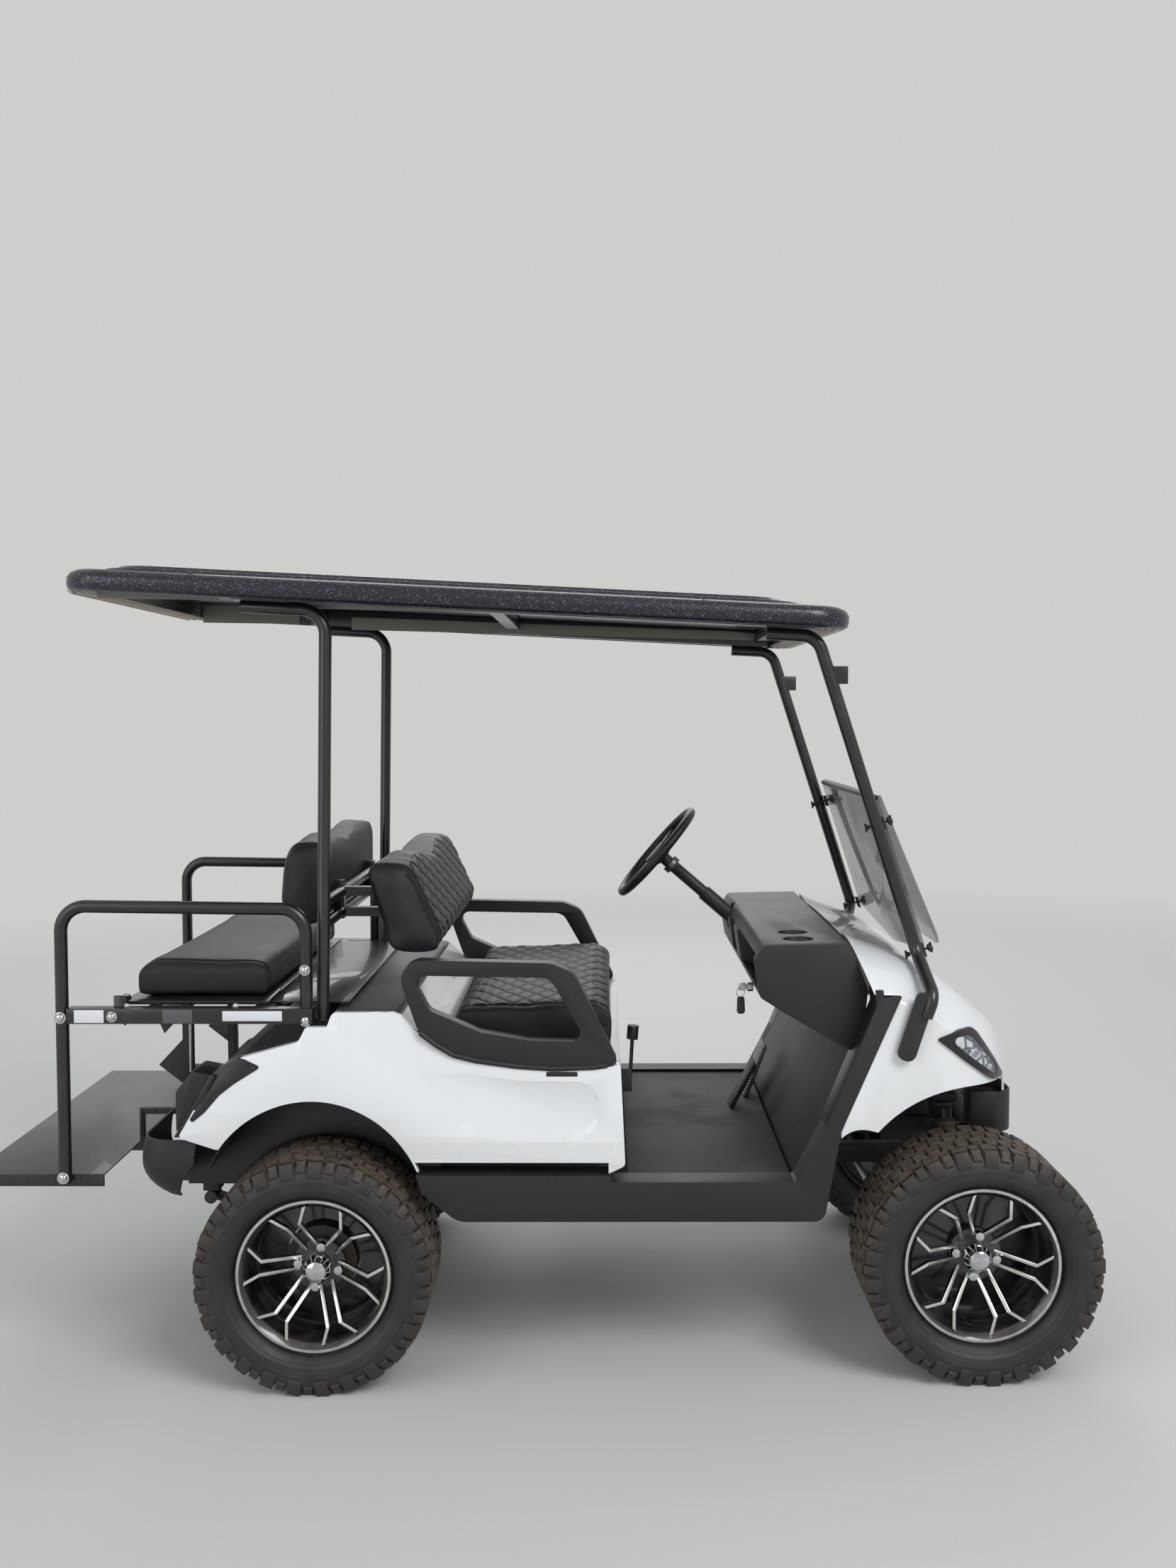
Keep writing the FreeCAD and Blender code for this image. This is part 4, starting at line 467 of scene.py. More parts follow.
class Finishes:
    """All the cart's finishes by plain names."""

    def __init__(self) -> None:
        """Makes each finish once."""
        recipes = [
            Paint("white_paint", (0.77, 0.78, 0.785)),
            Ribbed("brake_face", (0.20, 0.195, 0.18), (0.50, 0.49, 0.46), 0.6),
            Ribbed("pedal_face", (0.02, 0.02, 0.021), (0.07, 0.07, 0.07)),
            Bowl("lamp_bowl"),
            Plastic("trim_plastic", (0.0115, 0.0115, 0.0125), faded=0.14),
            Plastic("lamp_plastic", (0.012, 0.012, 0.013), roughness=0.32, faded=0.1, dust=0.1),
            Plastic("blank_label", (0.72, 0.73, 0.74), roughness=0.35, faded=0.0, dust=0.12, grain=2500.0),
            Plastic("grey_label", (0.085, 0.09, 0.095), roughness=0.35, faded=0.0, dust=0.12, grain=2500.0),
            Plastic("grip_plastic", (0.010, 0.010, 0.011), 0.45, depth=0.00003, faded=0.08, dust=0.06),
            Powder("powder_coat"),
            Tread("tread_plate"),
            Flake("roof_flake"),
            Vinyl("seat_vinyl"),
            Clear("smoked_acrylic", (0.055, 0.053, 0.05), 0.56),
            Clear("lamp_lens", (0.75, 0.8, 0.85), 0.16, 0.02),
            Metal("machined_alloy", (0.78, 0.77, 0.74), 0.2, 0.12, 25.0),
            Metal("chrome", (0.62, 0.63, 0.65), 0.06, 0.06, 40.0),
            Metal("column_steel", (0.15, 0.15, 0.155), 0.3),
            Metal("zinc", (0.55, 0.55, 0.54), 0.32, 0.2, 90.0),
            Paint("wheel_black", (0.007, 0.007, 0.008), 0.16, 0.04),
            Soiled("chassis_paint", (0.016, 0.016, 0.017), amount=0.35),
            Soiled("cast_iron", (0.045, 0.043, 0.042), amount=0.6, metal=0.4),
            Soiled("roof_liner", (0.19, 0.19, 0.165), (0.25, 0.24, 0.2), 0.3),
            Soiled("end_liner", (0.50, 0.46, 0.38), (0.30, 0.27, 0.22), 0.25),
            Plastic("fob_plastic", (0.02, 0.02, 0.022), roughness=0.35, faded=0.0, dust=0.05),
            Mat("floor_mat"),
            Rubber("tyre_rubber_front", FRONT_AXLE, TYRE_RADIUS),
            Rubber("tyre_rubber_rear", REAR_AXLE, TYRE_RADIUS),
        ]
        self.made = {recipe.name: recipe.make() for recipe in recipes}

    def dress(self, piece: Piece, *names: str) -> None:
        """Gives a piece its finishes, one for each of its slots in order."""
        piece.data.materials.clear()
        for name in names:
            piece.data.materials.append(self.made[name])

    def deliver(self, piece: Piece, finish: str, node: str = "", slot: str = "") -> None:
        """Dresses a finished piece and puts it on its body.

        Args:
            piece: the finished piece.
            finish: its finish, or nothing where it has been dressed.
            node: the CAD node that it stands for.
            slot: not used.
        """
        if finish:
            self.dress(piece, finish)
        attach(piece, BODIES.get(node, "cart"))
        if node:
            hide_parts(node)
        LOG.info("%s: %d faces on %s", piece.name, len(piece.data.polygons), BODIES.get(node, "cart"))


# Modelling with operators.

def rest() -> None:
    """Leaves edit mode and deselects everything."""
    if bpy.context.object and bpy.context.object.mode != "OBJECT":
        bpy.ops.object.mode_set(mode="OBJECT")
    bpy.ops.object.select_all(action="DESELECT")


def take(piece: Piece) -> None:
    """Makes a piece the only selected one."""
    rest()
    piece.select_set(True)
    bpy.context.view_layer.objects.active = piece


@contextmanager
def editing(piece: Piece) -> Iterator[None]:
    """Edit mode with the whole mesh selected, and object mode afterwards."""
    take(piece)
    bpy.ops.object.mode_set(mode="EDIT")
    bpy.ops.mesh.select_all(action="SELECT")
    yield
    bpy.ops.object.mode_set(mode="OBJECT")


def cut(place: Sequence[float], normal: Sequence[float], **settings: bool) -> None:
    """Cuts all of the mesh in edit mode with the plane through a place."""
    bpy.ops.mesh.select_all(action="SELECT")
    bpy.ops.mesh.bisect(plane_co=place, plane_no=normal, **settings)


def placed(name: str, data: bpy.types.ID) -> Piece:
    """A new object in the scene that shows the data given."""
    made = bpy.data.objects.new(name, data)
    bpy.context.scene.collection.objects.link(made)
    return made


def named(name: str) -> Piece:
    """Names the new active piece and settles its place into its mesh."""
    piece = bpy.context.object
    piece.name = name
    piece.data.name = name
    bpy.ops.object.transform_apply(location=True, rotation=True, scale=True)
    return piece


def modify(piece: Piece, kind: str, **settings: object) -> None:
    """Adds a modifier and applies it.

    Args:
        piece: the mesh object.
        kind: the modifier's type.
        settings: its settings.
    """
    take(piece)
    modifier = piece.modifiers.new(kind.lower(), kind)
    for key, value in settings.items():
        setattr(modifier, key, value)
    bpy.ops.object.modifier_apply(modifier=modifier.name)


def soften(piece: Piece, width: float, segments: int = 2, angle: float = 35.0) -> None:
    """Rounds the sharp edges and smooths the shading.

    Args:
        piece: the mesh object.
        width: the rounding's width in metres.
        segments: how many facets the rounding has.
        angle: edges sharper than this many degrees are rounded.
    """
    if width:
        modify(piece, "BEVEL", width=width, segments=segments, limit_method="ANGLE",
               angle_limit=math.radians(angle), use_clamp_overlap=True)
    take(piece)
    bpy.ops.object.shade_smooth_by_angle(angle=math.radians(angle))


def copy_of(node: str, name: str, width: float, merge: bool = True) -> Piece:
    """A CAD node's form with merged facets and rounded edges, in the node's place.

    Args:
        node: the CAD node.
        name: the new piece's name.
        width: the rounding's width, or 0 for none.
        merge: False keeps the facets, for walls whose flat edges wrap round an opening.

    Returns:
        The new piece.
    """
    piece = placed(name, frame["nodes"][node].data.copy())
    with editing(piece):
        bpy.ops.mesh.customdata_custom_splitnormals_clear()
        bpy.ops.mesh.remove_doubles(threshold=0.00002)
        if merge:
            bpy.ops.mesh.dissolve_limited(angle_limit=math.radians(0.6))
    soften(piece, width)
    return piece


def apart(piece: Piece) -> list[Piece]:
    """Separates a piece into its loose parts."""
    with editing(piece):
        bpy.ops.mesh.separate(type="LOOSE")
    return list(bpy.context.selected_objects)


def cylinder(name: str, start: Sequence[float], end: Sequence[float], radius: float, width: float,
             sides: int) -> Piece:
    """A round bar between two points, with rounded ends.

    Args:
        name: the piece's name.
        start: the middle of one end.
        end: the middle of the other.
        radius: its radius.
        width: the rounding.
        sides: how many facets go round.

    Returns:
        The bar.
    """
    rest()
    way = Vector(end) - Vector(start)
    turn = way.to_track_quat("Z", "Y").to_euler()
    bpy.ops.mesh.primitive_cylinder_add(vertices=sides, radius=radius, depth=way.length,
                                        location=(Vector(start) + Vector(end)) / 2, rotation=turn)
    piece = named(name)
    soften(piece, width, 3)
    return piece


def prism(name: str, outline: Sequence[Point], reach: Sequence[float], width: float = 0.0) -> Piece:
    """A flat outline drawn out along a direction.

    Args:
        name: the piece's name.
        outline: corner points in order.
        reach: the direction and distance.
        width: the rounding.

    Returns:
        The prism.
    """
    rest()
    bpy.ops.mesh.primitive_circle_add(vertices=len(outline), fill_type="NGON")
    piece = named(name)
    for vertex, point in zip(piece.data.vertices, outline):
        vertex.co = point
    with editing(piece):
        bpy.ops.mesh.extrude_region_move(TRANSFORM_OT_translate={"value": tuple(reach)})
        bpy.ops.mesh.select_all(action="SELECT")
        bpy.ops.mesh.normals_make_consistent(inside=False)
    soften(piece, width)
    return piece


def plate(name: str, outline: Outline, y: float, thick: float, width: float) -> Piece:
    """A plate in x and z that starts at y and is drawn out along Y, in millimetres, with rounded edges."""
    return prism(name, [spot(x, y, z) for x, z in outline], (0.0, thick / 1000.0, 0.0), width)


def joined(name: str, pieces: Sequence[Piece]) -> Piece:
    """Joins pieces into one.

    Args:
        name: the new piece's name.
        pieces: what is joined.

    Returns:
        The new piece.
    """
    take(pieces[0])
    for piece in pieces:
        piece.select_set(True)
    bpy.ops.object.join()
    piece = bpy.context.object
    piece.name = name
    piece.data.name = name
    return piece


def again(piece: Piece, place: Matrix) -> Piece:
    """Copies a piece with its own mesh, moved by a matrix."""
    twin = placed(piece.name + "_copy", piece.data.copy())
    twin.data.transform(place)
    return twin


def discard(piece: Piece) -> None:
    """Removes a pattern that has been copied."""
    bpy.data.objects.remove(piece, do_unlink=True)


def sunk(piece: Piece, depth: float) -> None:
    """Moves every point of a piece inwards along its normal."""
    normals = [vertex.normal.copy() for vertex in piece.data.vertices]
    for vertex, normal in zip(piece.data.vertices, normals):
        vertex.co -= normal * depth


def repaint(piece: Piece, index: int, test: Callable[[Vector, Vector], bool]) -> None:
    """Gives the faces whose middle and normal pass a test another of the piece's finishes."""
    for face in piece.data.polygons:
        if test(face.center, face.normal):
            face.material_index = index


def spun(name: str, section: Outline, steps: int) -> Piece:
    """A closed section of (across, radius) turned about the Y axis.

    Args:
        name: the piece's name.
        section: its corners in metres, in order.
        steps: how many facets go round.

    Returns:
        The ring.
    """
    rest()
    bpy.ops.mesh.primitive_circle_add(vertices=len(section), fill_type="NOTHING")
    piece = named(name)
    for vertex, (across, radius) in zip(piece.data.vertices, section):
        vertex.co = (0.0, across, radius)
    with editing(piece):
        bpy.ops.mesh.spin(steps=steps, angle=2 * math.pi, center=(0, 0, 0), axis=(0, 1, 0))
        bpy.ops.mesh.select_all(action="SELECT")
        bpy.ops.mesh.remove_doubles(threshold=0.00001)
        bpy.ops.mesh.normals_make_consistent(inside=False)
    return piece


# Sub-assemblies.

@dataclass
class Assembly:
    """A sub-assembly, which makes its pieces and has them dressed and delivered."""
    finishes: Finishes

    def build(self) -> None:
        """Makes every piece of the sub-assembly."""
        raise NotImplementedError


@dataclass
class PlainNodes(Assembly):
    """Rigid CAD nodes whose form is right: merged, with rounded edges and their own finish."""
    # node, finish, rounding
    rows: tuple = (
        ("chassis_frame", "chassis_paint", 0.003),
        ("engine_block", "cast_iron", 0.006),
        ("front_suspension", "chassis_paint", 0.001),
        ("rear_axle", "cast_iron", 0.0015),
        ("rear_suspension", "chassis_paint", 0.001),
        ("knuckle_right", "cast_iron", 0.0015),
        ("knuckle_left", "cast_iron", 0.0015),
        ("tie_rod", "zinc", 0.001),
        ("tail_lamps", "lamp_plastic", 0.003),
        ("rocker_panels", "trim_plastic", 0.003),
        ("floor_pan", "floor_mat", 0.003),
        ("front_cowl", "white_paint", 0.002),
        ("front_bumper", "trim_plastic", 0.003),
        ("dashboard", "trim_plastic", 0.003),
        ("steering_wheel", "grip_plastic", 0.0),
        ("footwell_panel", "trim_plastic", 0.001),
        ("direction_lever", "grip_plastic", 0.002),
        ("front_seat_base", "trim_plastic", 0.003),
        ("hip_restraints", "grip_plastic", 0.004),
        ("rear_seat_frame", "powder_coat", 0.0015),
        ("rear_flip_base", "tread_plate", 0.0015),
        ("grab_rails", "powder_coat", 0.0),
        ("foot_plate", "tread_plate", 0.0015),
        ("cargo_deck", "tread_plate", 0.0015),
        ("backrest_frame", "powder_coat", 0.0015),
        ("roof", "roof_flake", 0.004),
        ("roof_rails", "powder_coat", 0.002),
        ("rear_struts", "powder_coat", 0.001),
        ("front_struts", "powder_coat", 0.002),
        ("windscreen_lower", "smoked_acrylic", 0.001),
        ("windscreen_upper", "smoked_acrylic", 0.001),
        ("windscreen_clips", "trim_plastic", 0.0015),
    )
    # nodes whose facets stay, because flat walls wrap round their openings
    open_walls: tuple = ("rocker_panels", "front_bumper", "steering_wheel")

    def build(self) -> None:
        """Makes every piece of the table."""
        for node, finish, width in self.rows:
            piece = copy_of(node, "fine_" + node, width, merge=node not in self.open_walls)
            self.finishes.deliver(piece, finish, node)


@dataclass
class Wheels(Assembly):
    """Chunky tyres on black wheels with bright spoke faces."""
    pitches: int = 25
    # tread blocks: corners along the tread and across it, in metres
    centre_block: tuple = ((-0.015, 0.005), (0.009, 0.002), (0.017, 0.024), (0.013, 0.050),
                           (-0.011, 0.053), (-0.017, 0.028))
    long_block: tuple = ((-0.012, 0.060), (0.013, 0.057), (0.020, 0.082), (0.018, 0.113),
                         (-0.014, 0.113), (-0.018, 0.086))
    short_block: tuple = ((-0.009, 0.066), (0.011, 0.064), (0.013, 0.085), (0.012, 0.104),
                          (-0.009, 0.104), (-0.012, 0.086))
    # the wall that runs down from a block's outer edge: across and radius
    long_wall: tuple = ((0.098, 0.2916), (0.113, 0.2916), (0.1244, 0.2615), (0.1210, 0.2480), (0.100, 0.262))
    short_wall: tuple = ((0.090, 0.2916), (0.104, 0.2916), (0.1200, 0.2710), (0.1180, 0.2640), (0.095, 0.270))
    # how a block widens to its foot, and how much of its length its wall has
    flare: float = 1.14
    wall_share: float = 0.86
    # depths of the middle and the shoulder blocks, and the rounding of their edges
    middle_depth: float = 0.012
    shoulder_depth: float = 0.016
    block_edge: float = 0.0011
    # the cap's crown, and the dark dished plate behind the spokes, a painted shade for the deep shaded inside of
    # the wheel: across and radius
    dome: tuple = ((0.0650, 0.0), (0.0650, 0.0247), (0.0668, 0.0240), (0.0690, 0.0205), (0.0712, 0.0145),
                   (0.0725, 0.0075), (0.0729, 0.0))
    shade_plate: tuple = ((-0.0640, 0.1300), (-0.0620, 0.1716), (-0.0560, 0.1716), (-0.0575, 0.1330))
    # where the painted-shade plate starts: round the spindle in front, round the drum behind
    shade_plate_foot: tuple = (((-0.0300, 0.0370), (-0.0345, 0.0370)), ((-0.0500, 0.0940), (-0.0545, 0.0940)))
    # bright faces: finish, radii between which they lie, least distance outwards and least outward tilt
    bright: tuple = ((1, 0.068, 0.150, 0.017, 0.6), (1, 0.150, 0.1785, 0.017, 0.9),
                     (1, 0.182, 1.0, 0.0935, 0.5), (2, 0.0, 0.0338, 0.0146, -2.0),
                     (2, 0.038, 0.063, 0.0146, -2.0))

    def block(self, name: str, outline: Outline, foot: float) -> Piece:
        """One tread block at the top of the wheel.

        Args:
            name: its name.
            outline: corners along and across the tread.
            foot: how deep it goes.

        Returns:
            The block.
        """
        top = TYRE_RADIUS - 0.0004
        corners = [(along, across, top) for along, across in outline]
        piece = prism(name, corners, (0.0, 0.0, -foot))
        for vertex in piece.data.vertices:
            if vertex.co.z < top - 0.001:
                vertex.co.x *= self.flare
        soften(piece, self.block_edge)
        return piece

    def shoulder(self, name: str, outline: Outline, wall: Outline) -> Piece:
        """A block with the wall that it sends down the tyre's side.

        Args:
            name: its name.
            outline: the block's corners along and across the tread.
            wall: the wall's corners across the tread and by radius.

        Returns:
            The block.
        """
        top = self.block(name, outline, self.shoulder_depth)
        low, high = (pick(along for along, _ in outline) * self.wall_share for pick in (min, max))
        corners = [(low, across, radius) for across, radius in wall]
        side = prism(name + "_side", corners, (high - low, 0, 0), 0.0014)
        return joined(name, [top, side])

    def carcass(self) -> Piece:
        """Makes the tyre's wall with its rim guard and faint rings, and the tread's base.

        Returns:
            The carcass about the origin.
        """
        # across and radius
        outer_side = [(0.0857, 0.1786), (0.0862, 0.1935), (0.0900, 0.1975), (0.0960, 0.1985),
                      (0.1035, 0.2035), (0.1120, 0.2125), (0.1135, 0.2128), (0.1190, 0.2220),
                      (0.1203, 0.2222), (0.1232, 0.2330), (0.1240, 0.2440), (0.1228, 0.2450),
                      (0.1205, 0.2560), (0.1160, 0.2680), (0.1070, 0.2775), (0.0900, 0.2795), (0.0, 0.2800)]
        inner = [(0.0, 0.2600), (0.0950, 0.2560), (0.1080, 0.2330), (0.0980, 0.2080), (0.0740, 0.1786)]
        section = [(-a, r) for a, r in outer_side] + [(a, r) for a, r in reversed(outer_side[:-1])]
        section += [(a, r) for a, r in reversed(inner[1:])] + [(-a, r) for a, r in inner[1:]]
        piece = spun("tyre_carcass", section, 120)
        soften(piece, 0.0, angle=30.0)
        return piece

    def tyre(self) -> Piece:
        """Makes the carcass and sets the tread blocks round it.

        Returns:
            The tyre about the origin.
        """
        parts = [self.carcass()]
        step = 2 * math.pi / self.pitches
        patterns = (
            # pattern, share of a pitch on the right, on the left
            (self.block("centre", self.centre_block, self.middle_depth), (0.0, 0.5), (0.25, 0.75)),
            (self.shoulder("long", self.long_block, self.long_wall), (0.25,), (0.0,)),
            (self.shoulder("short", self.short_block, self.short_wall), (0.75,), (0.5,)),
        )
        turns = (Matrix.Rotation(math.pi, 4, "Z"), Matrix())
        for pattern, *sides in patterns:
            for index in range(self.pitches):
                for shares, turn in zip(sides, turns):
                    parts += [again(pattern, Matrix.Rotation((index + share) * step, 4, "Y") @ turn)
                              for share in shares]
            discard(pattern)
        return joined("tyre", parts)

    def rim(self, node: str, name: str, centre: Vector, way: int) -> Piece:
        """A wheel from its CAD form, with machined faces, a chrome cap, chrome nuts and a dark plate of painted
        shade behind the spokes.

        Args:
            node: the CAD node.
            name: the piece's name.
            centre: the wheel's centre.
            way: -1 on the right, 1 on the left.

        Returns:
            The wheel.
        """
        piece = copy_of(node, name, 0.0009)
        self.finishes.dress(piece, "wheel_black", "machined_alloy", "chrome")

        def in_band(middle: Vector, normal: Vector) -> bool:
            """Whether a face lies in the band of radii, far enough out and facing outwards."""
            away = middle - centre
            faces_out = away.y * way > outwards and normal.y * way > tilt
            return faces_out and low <= math.hypot(away.x, away.z) < high

        for index, low, high, outwards, tilt in self.bright:
            repaint(piece, index, in_band)
        place = Matrix.Translation(centre) @ Matrix.Rotation(math.pi if way < 0 else 0.0, 4, "Z")
        extras = []
        # the dark plate behind the spokes is painted shade, so that the wheel's inside reads dark
        shade_plate = self.shade_plate_foot[0 if "front" in name else 1] + self.shade_plate
        for section, finish, steps in ((self.dome, "chrome", 40), (shade_plate, "wheel_black", 64)):
            pattern = spun("wheel_extra", section, steps)
            soften(pattern, 0.0, angle=30.0)
            extras.append(again(pattern, place))
            self.finishes.dress(extras[-1], finish)
            discard(pattern)
        return joined(name, [piece, *extras])

    def build(self) -> None:
        """Makes four tyres and four wheels."""
        pattern = self.tyre()
        for end, axle in (("front", FRONT_AXLE), ("rear", REAR_AXLE)):
            for side, way in SIDES:
                centre = Vector((axle.x, abs(axle.y) * way, axle.z))
                corner = "_%s_%s" % (end, side)
                turn = Matrix.Rotation(math.pi if way > 0 else 0.0, 4, "Z")
                tyre = again(pattern, Matrix.Translation(centre) @ turn)
                tyre.name = "tread" + corner
                self.finishes.deliver(tyre, "tyre_rubber_" + end, "tyre" + corner)
                rim = self.rim("rim" + corner, "spokes" + corner, centre, way)
                self.finishes.deliver(rim, "", "rim" + corner)
        discard(pattern)


class Quilt(Enum):
    """How a pad's face is sewn."""
    PLAIN = "plain"
    TOP = "diamonds on top"
    FACE = "diamonds in front"


@dataclass
class Pads(Assembly):
    """Vinyl cushions and backs, swollen from their CAD forms, then sewn."""
    # the remeshing's grain, and how far the pad is first drawn in so that it can swell
    voxel: float = 0.009
    shrink: float = 0.006
    pressure: float = 4.0
    steps: int = 20
    # node, name, quilt, cap on the swelling, fill
    rows: tuple = (
        ("front_seat_cushion", "front_cushion", Quilt.TOP, 0.012, 0.8),
        ("front_backrest", "front_back", Quilt.FACE, 0.012, 0.8),
        ("rear_seat_cushion", "rear_cushion", Quilt.PLAIN, 0.010, 0.85),
        ("rear_backrest", "rear_back", Quilt.PLAIN, 0.010, 0.85),
    )
    # a diamond's height and width, a seam's depth, and how far from the sides the welts run
    diamond: tuple = (0.056, 0.102)
    stitch: float = 0.0045
    margin: float = 0.045
    # half-widths of a welt and of a quilting line, and how far a diamond's middle stands up
    welt: float = 0.006
    line: float = 0.011
    crown: float = 0.0020
    # smoothing passes for a plain pad and for a quilted one
    rounds: tuple = (18, 10)

    def swell(self, piece: Piece, cap: float) -> None:
        """Blows the pad up with cloth pressure and limits how far a point moves.

        Args:
            piece: the remeshed pad.
            cap: the furthest that a point may move.
        """
        start = [vertex.co.copy() for vertex in piece.data.vertices]
        take(piece)
        cloth = piece.modifiers.new("cloth", "CLOTH")
        cloth.settings.use_pressure = True
        cloth.settings.uniform_pressure_force = self.pressure
        cloth.settings.effector_weights.gravity = 0.0
        cloth.settings.quality = 4
        scene = bpy.context.scene
        for number in range(1, self.steps + 1):
            scene.frame_set(number)
        bpy.ops.object.modifier_apply(modifier=cloth.name)
        scene.frame_set(1)
        for vertex, place in zip(piece.data.vertices, start):
            move = vertex.co - place
            if move.length > cap:
                vertex.co = place + move * (cap / move.length)

    def sew(self, piece: Piece, quilt: Quilt, low: Vector, high: Vector) -> None:
        """Presses the quilting lines and the welt seams into the vinyl.

        Args:
            piece: the pad.
            quilt: which face has diamonds.
            low: the CAD solid's lowest corner.
            high: its highest corner.
        """
        inner = max(abs(low.y), abs(high.y)) - self.margin
        normals = [vertex.normal.copy() for vertex in piece.data.vertices]
        for vertex, normal in zip(piece.data.vertices, normals):
            place = vertex.co.copy()
            sink = 0.0
            seam = abs(abs(place.y) - inner)
            if abs(normal.y) < 0.75 and seam < self.welt:
                sink += self.stitch * (1.0 - seam / self.welt)
            facing = normal.z > 0.55 if quilt is Quilt.TOP else normal.x > 0.5
            if quilt is not Quilt.PLAIN and facing and abs(place.y) < inner - 0.004:
                run = place.x if quilt is Quilt.TOP else place.z
                across, along = place.y / self.diamond[1], run / self.diamond[0]
                lines = [abs((value + 0.5) % 1.0 - 0.5) for value in (across + along, across - along)]
                nearest = min(lines) * min(self.diamond) * 1.7
                sink += self.stitch * max(0.0, 1.0 - nearest / self.line) ** 1.5
                sink -= self.crown * min(1.0, nearest / 0.03)
            vertex.co = place - normal * sink

    def build(self) -> None:
        """Makes every pad."""
        for node, name, quilt, cap, fill in self.rows:
            piece = copy_of(node, name, 0.0)
            low, high = (Vector(corner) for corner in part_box(node))
            modify(piece, "REMESH", mode="VOXEL", voxel_size=self.voxel)
            sunk(piece, self.shrink)
            self.swell(piece, cap)
            modify(piece, "SMOOTH", factor=0.5, iterations=self.rounds[quilt is not Quilt.PLAIN])
            modify(piece, "SUBSURF", levels=1, render_levels=1)
            self.sew(piece, quilt, low, high)
            take(piece)
            bpy.ops.object.shade_smooth()
            self.finishes.dress(piece, "seat_vinyl")
            self.finishes.deliver(piece, "", node)


@dataclass
class Lamps(Assembly):
    """Headlamps: leaf-shaped bezels round clear lenses over bright bowls."""
    # a lens is shorter than this, and the bowls lie this far inside the lenses
    lens_length: float = 0.15
    inset: float = 0.0016

    def build(self) -> None:
        """Makes the bezels, lenses and bowls of both sides."""
        parts = apart(copy_of("headlamps", "lamp_part", 0.0))
        lenses, bezels = ([part for part in parts if (part.dimensions.x < self.lens_length) is short]
                          for short in (True, False))
        lens = joined("lamp_lenses", lenses)
        bezel = joined("lamp_bezels", bezels)
        bowl = again(lens, Matrix())
        bowl.name = "lamp_bowls"
        sunk(bowl, self.inset)
        rows = (
            # piece, finish, node, slot, rounding
            (lens, "lamp_lens", "", "lens", 0.0006),
            (bezel, "lamp_plastic", "headlamps", "lamp_black", 0.0012),
            (bowl, "lamp_bowl", "", "bare_steel", 0.0),
        )
        for piece, finish, node, slot, width in rows:
            soften(piece, width)
            self.finishes.deliver(piece, finish, node, slot)


@dataclass
class Controls(Assembly):
    """Steering column with its bright ring, ribbed pedals, and the key with its fob."""
    wheel_centre: tuple = (876, 290, 957)
    column_angle: float = 40.8
    # where the bright collar starts and ends below the wheel's centre, and the radius of the tube in it
    ring: tuple = (0.050, 0.072)
    ring_inside: float = 0.021
    # the brake pedal's face lies farther left than this
    brake_edge: float = 0.19
    key: tuple = (1103, -300, 655)
    # outlines about the key's lock: x and z in millimetres
    bow: tuple = ((-9, 5), (-17, 11), (-31, 9), (-33, -9), (-18, -11), (-9, -5))
    blade: tuple = ((-25, -28), (-35, -28), (-34, -62), (-30, -68), (-26, -62))
    fob: tuple = ((-17, -29), (-22, -26), (-32, -26), (-36, -30), (-37, -66), (-32, -72), (-20, -72),
                  (-15, -66))

    def column(self) -> None:
        """Makes the column with its bright collar."""
        top = spot(*self.wheel_centre)
        angle = math.radians(self.column_angle)
        axis = SPRUNG.to_3x3() @ Vector((math.cos(angle), 0.0, -math.sin(angle)))

        def on_ring(middle: Vector, _: Vector) -> bool:
            """Whether a face is on the collar below the steering wheel's hub."""
            along = (middle - top).dot(axis)
            away = (middle - top - axis * along).length
            return self.ring[0] < along < self.ring[1] and away > self.ring_inside

        column = copy_of("steering_column", "fine_steering_column", 0.0015)
        self.finishes.dress(column, "grip_plastic", "column_steel")
        repaint(column, 1, on_ring)
        self.finishes.deliver(column, "", "steering_column")

    def near(self, outline: Outline) -> list[Flat]:
        """An outline about the lock, moved to the key's place."""
        return [(self.key[0] + x, self.key[2] + z) for x, z in outline]

    def build(self) -> None:
        """Makes the column, the pedals and the key."""
        self.column()
        pedals = copy_of("pedals", "fine_pedals", 0.002)
        self.finishes.dress(pedals, "brake_face", "pedal_face")
        repaint(pedals, 1, lambda middle, _: middle.y < self.brake_edge)
        self.finishes.deliver(pedals, "", "pedals")
        x, y, z = self.key
        lock = cylinder("lock", spot(x + 6, y, z), spot(x - 9, y, z), 0.012, 0.001, 28)
        bow = plate("bow", self.near(self.bow), y - 1, 2.5, 0.0006)
        rest()
        bpy.ops.mesh.primitive_torus_add(major_radius=0.013, minor_radius=0.0009, major_segments=28,
                                         minor_segments=6, location=spot(x - 27, y, z - 14),
                                         rotation=(math.pi / 2, 0, 0.5))
        ring = named("ring")
        blade = plate("blade", self.near(self.blade), y + 3, 1.6, 0.0004)
        self.finishes.deliver(joined("key_metal", [lock, bow, ring, blade]), "zinc", slot="bare_steel")
        fob = plate("key_fob", self.near(self.fob), y - 4, 6, 0.0015)
        self.finishes.deliver(fob, "fob_plastic", slot="black_plastic")


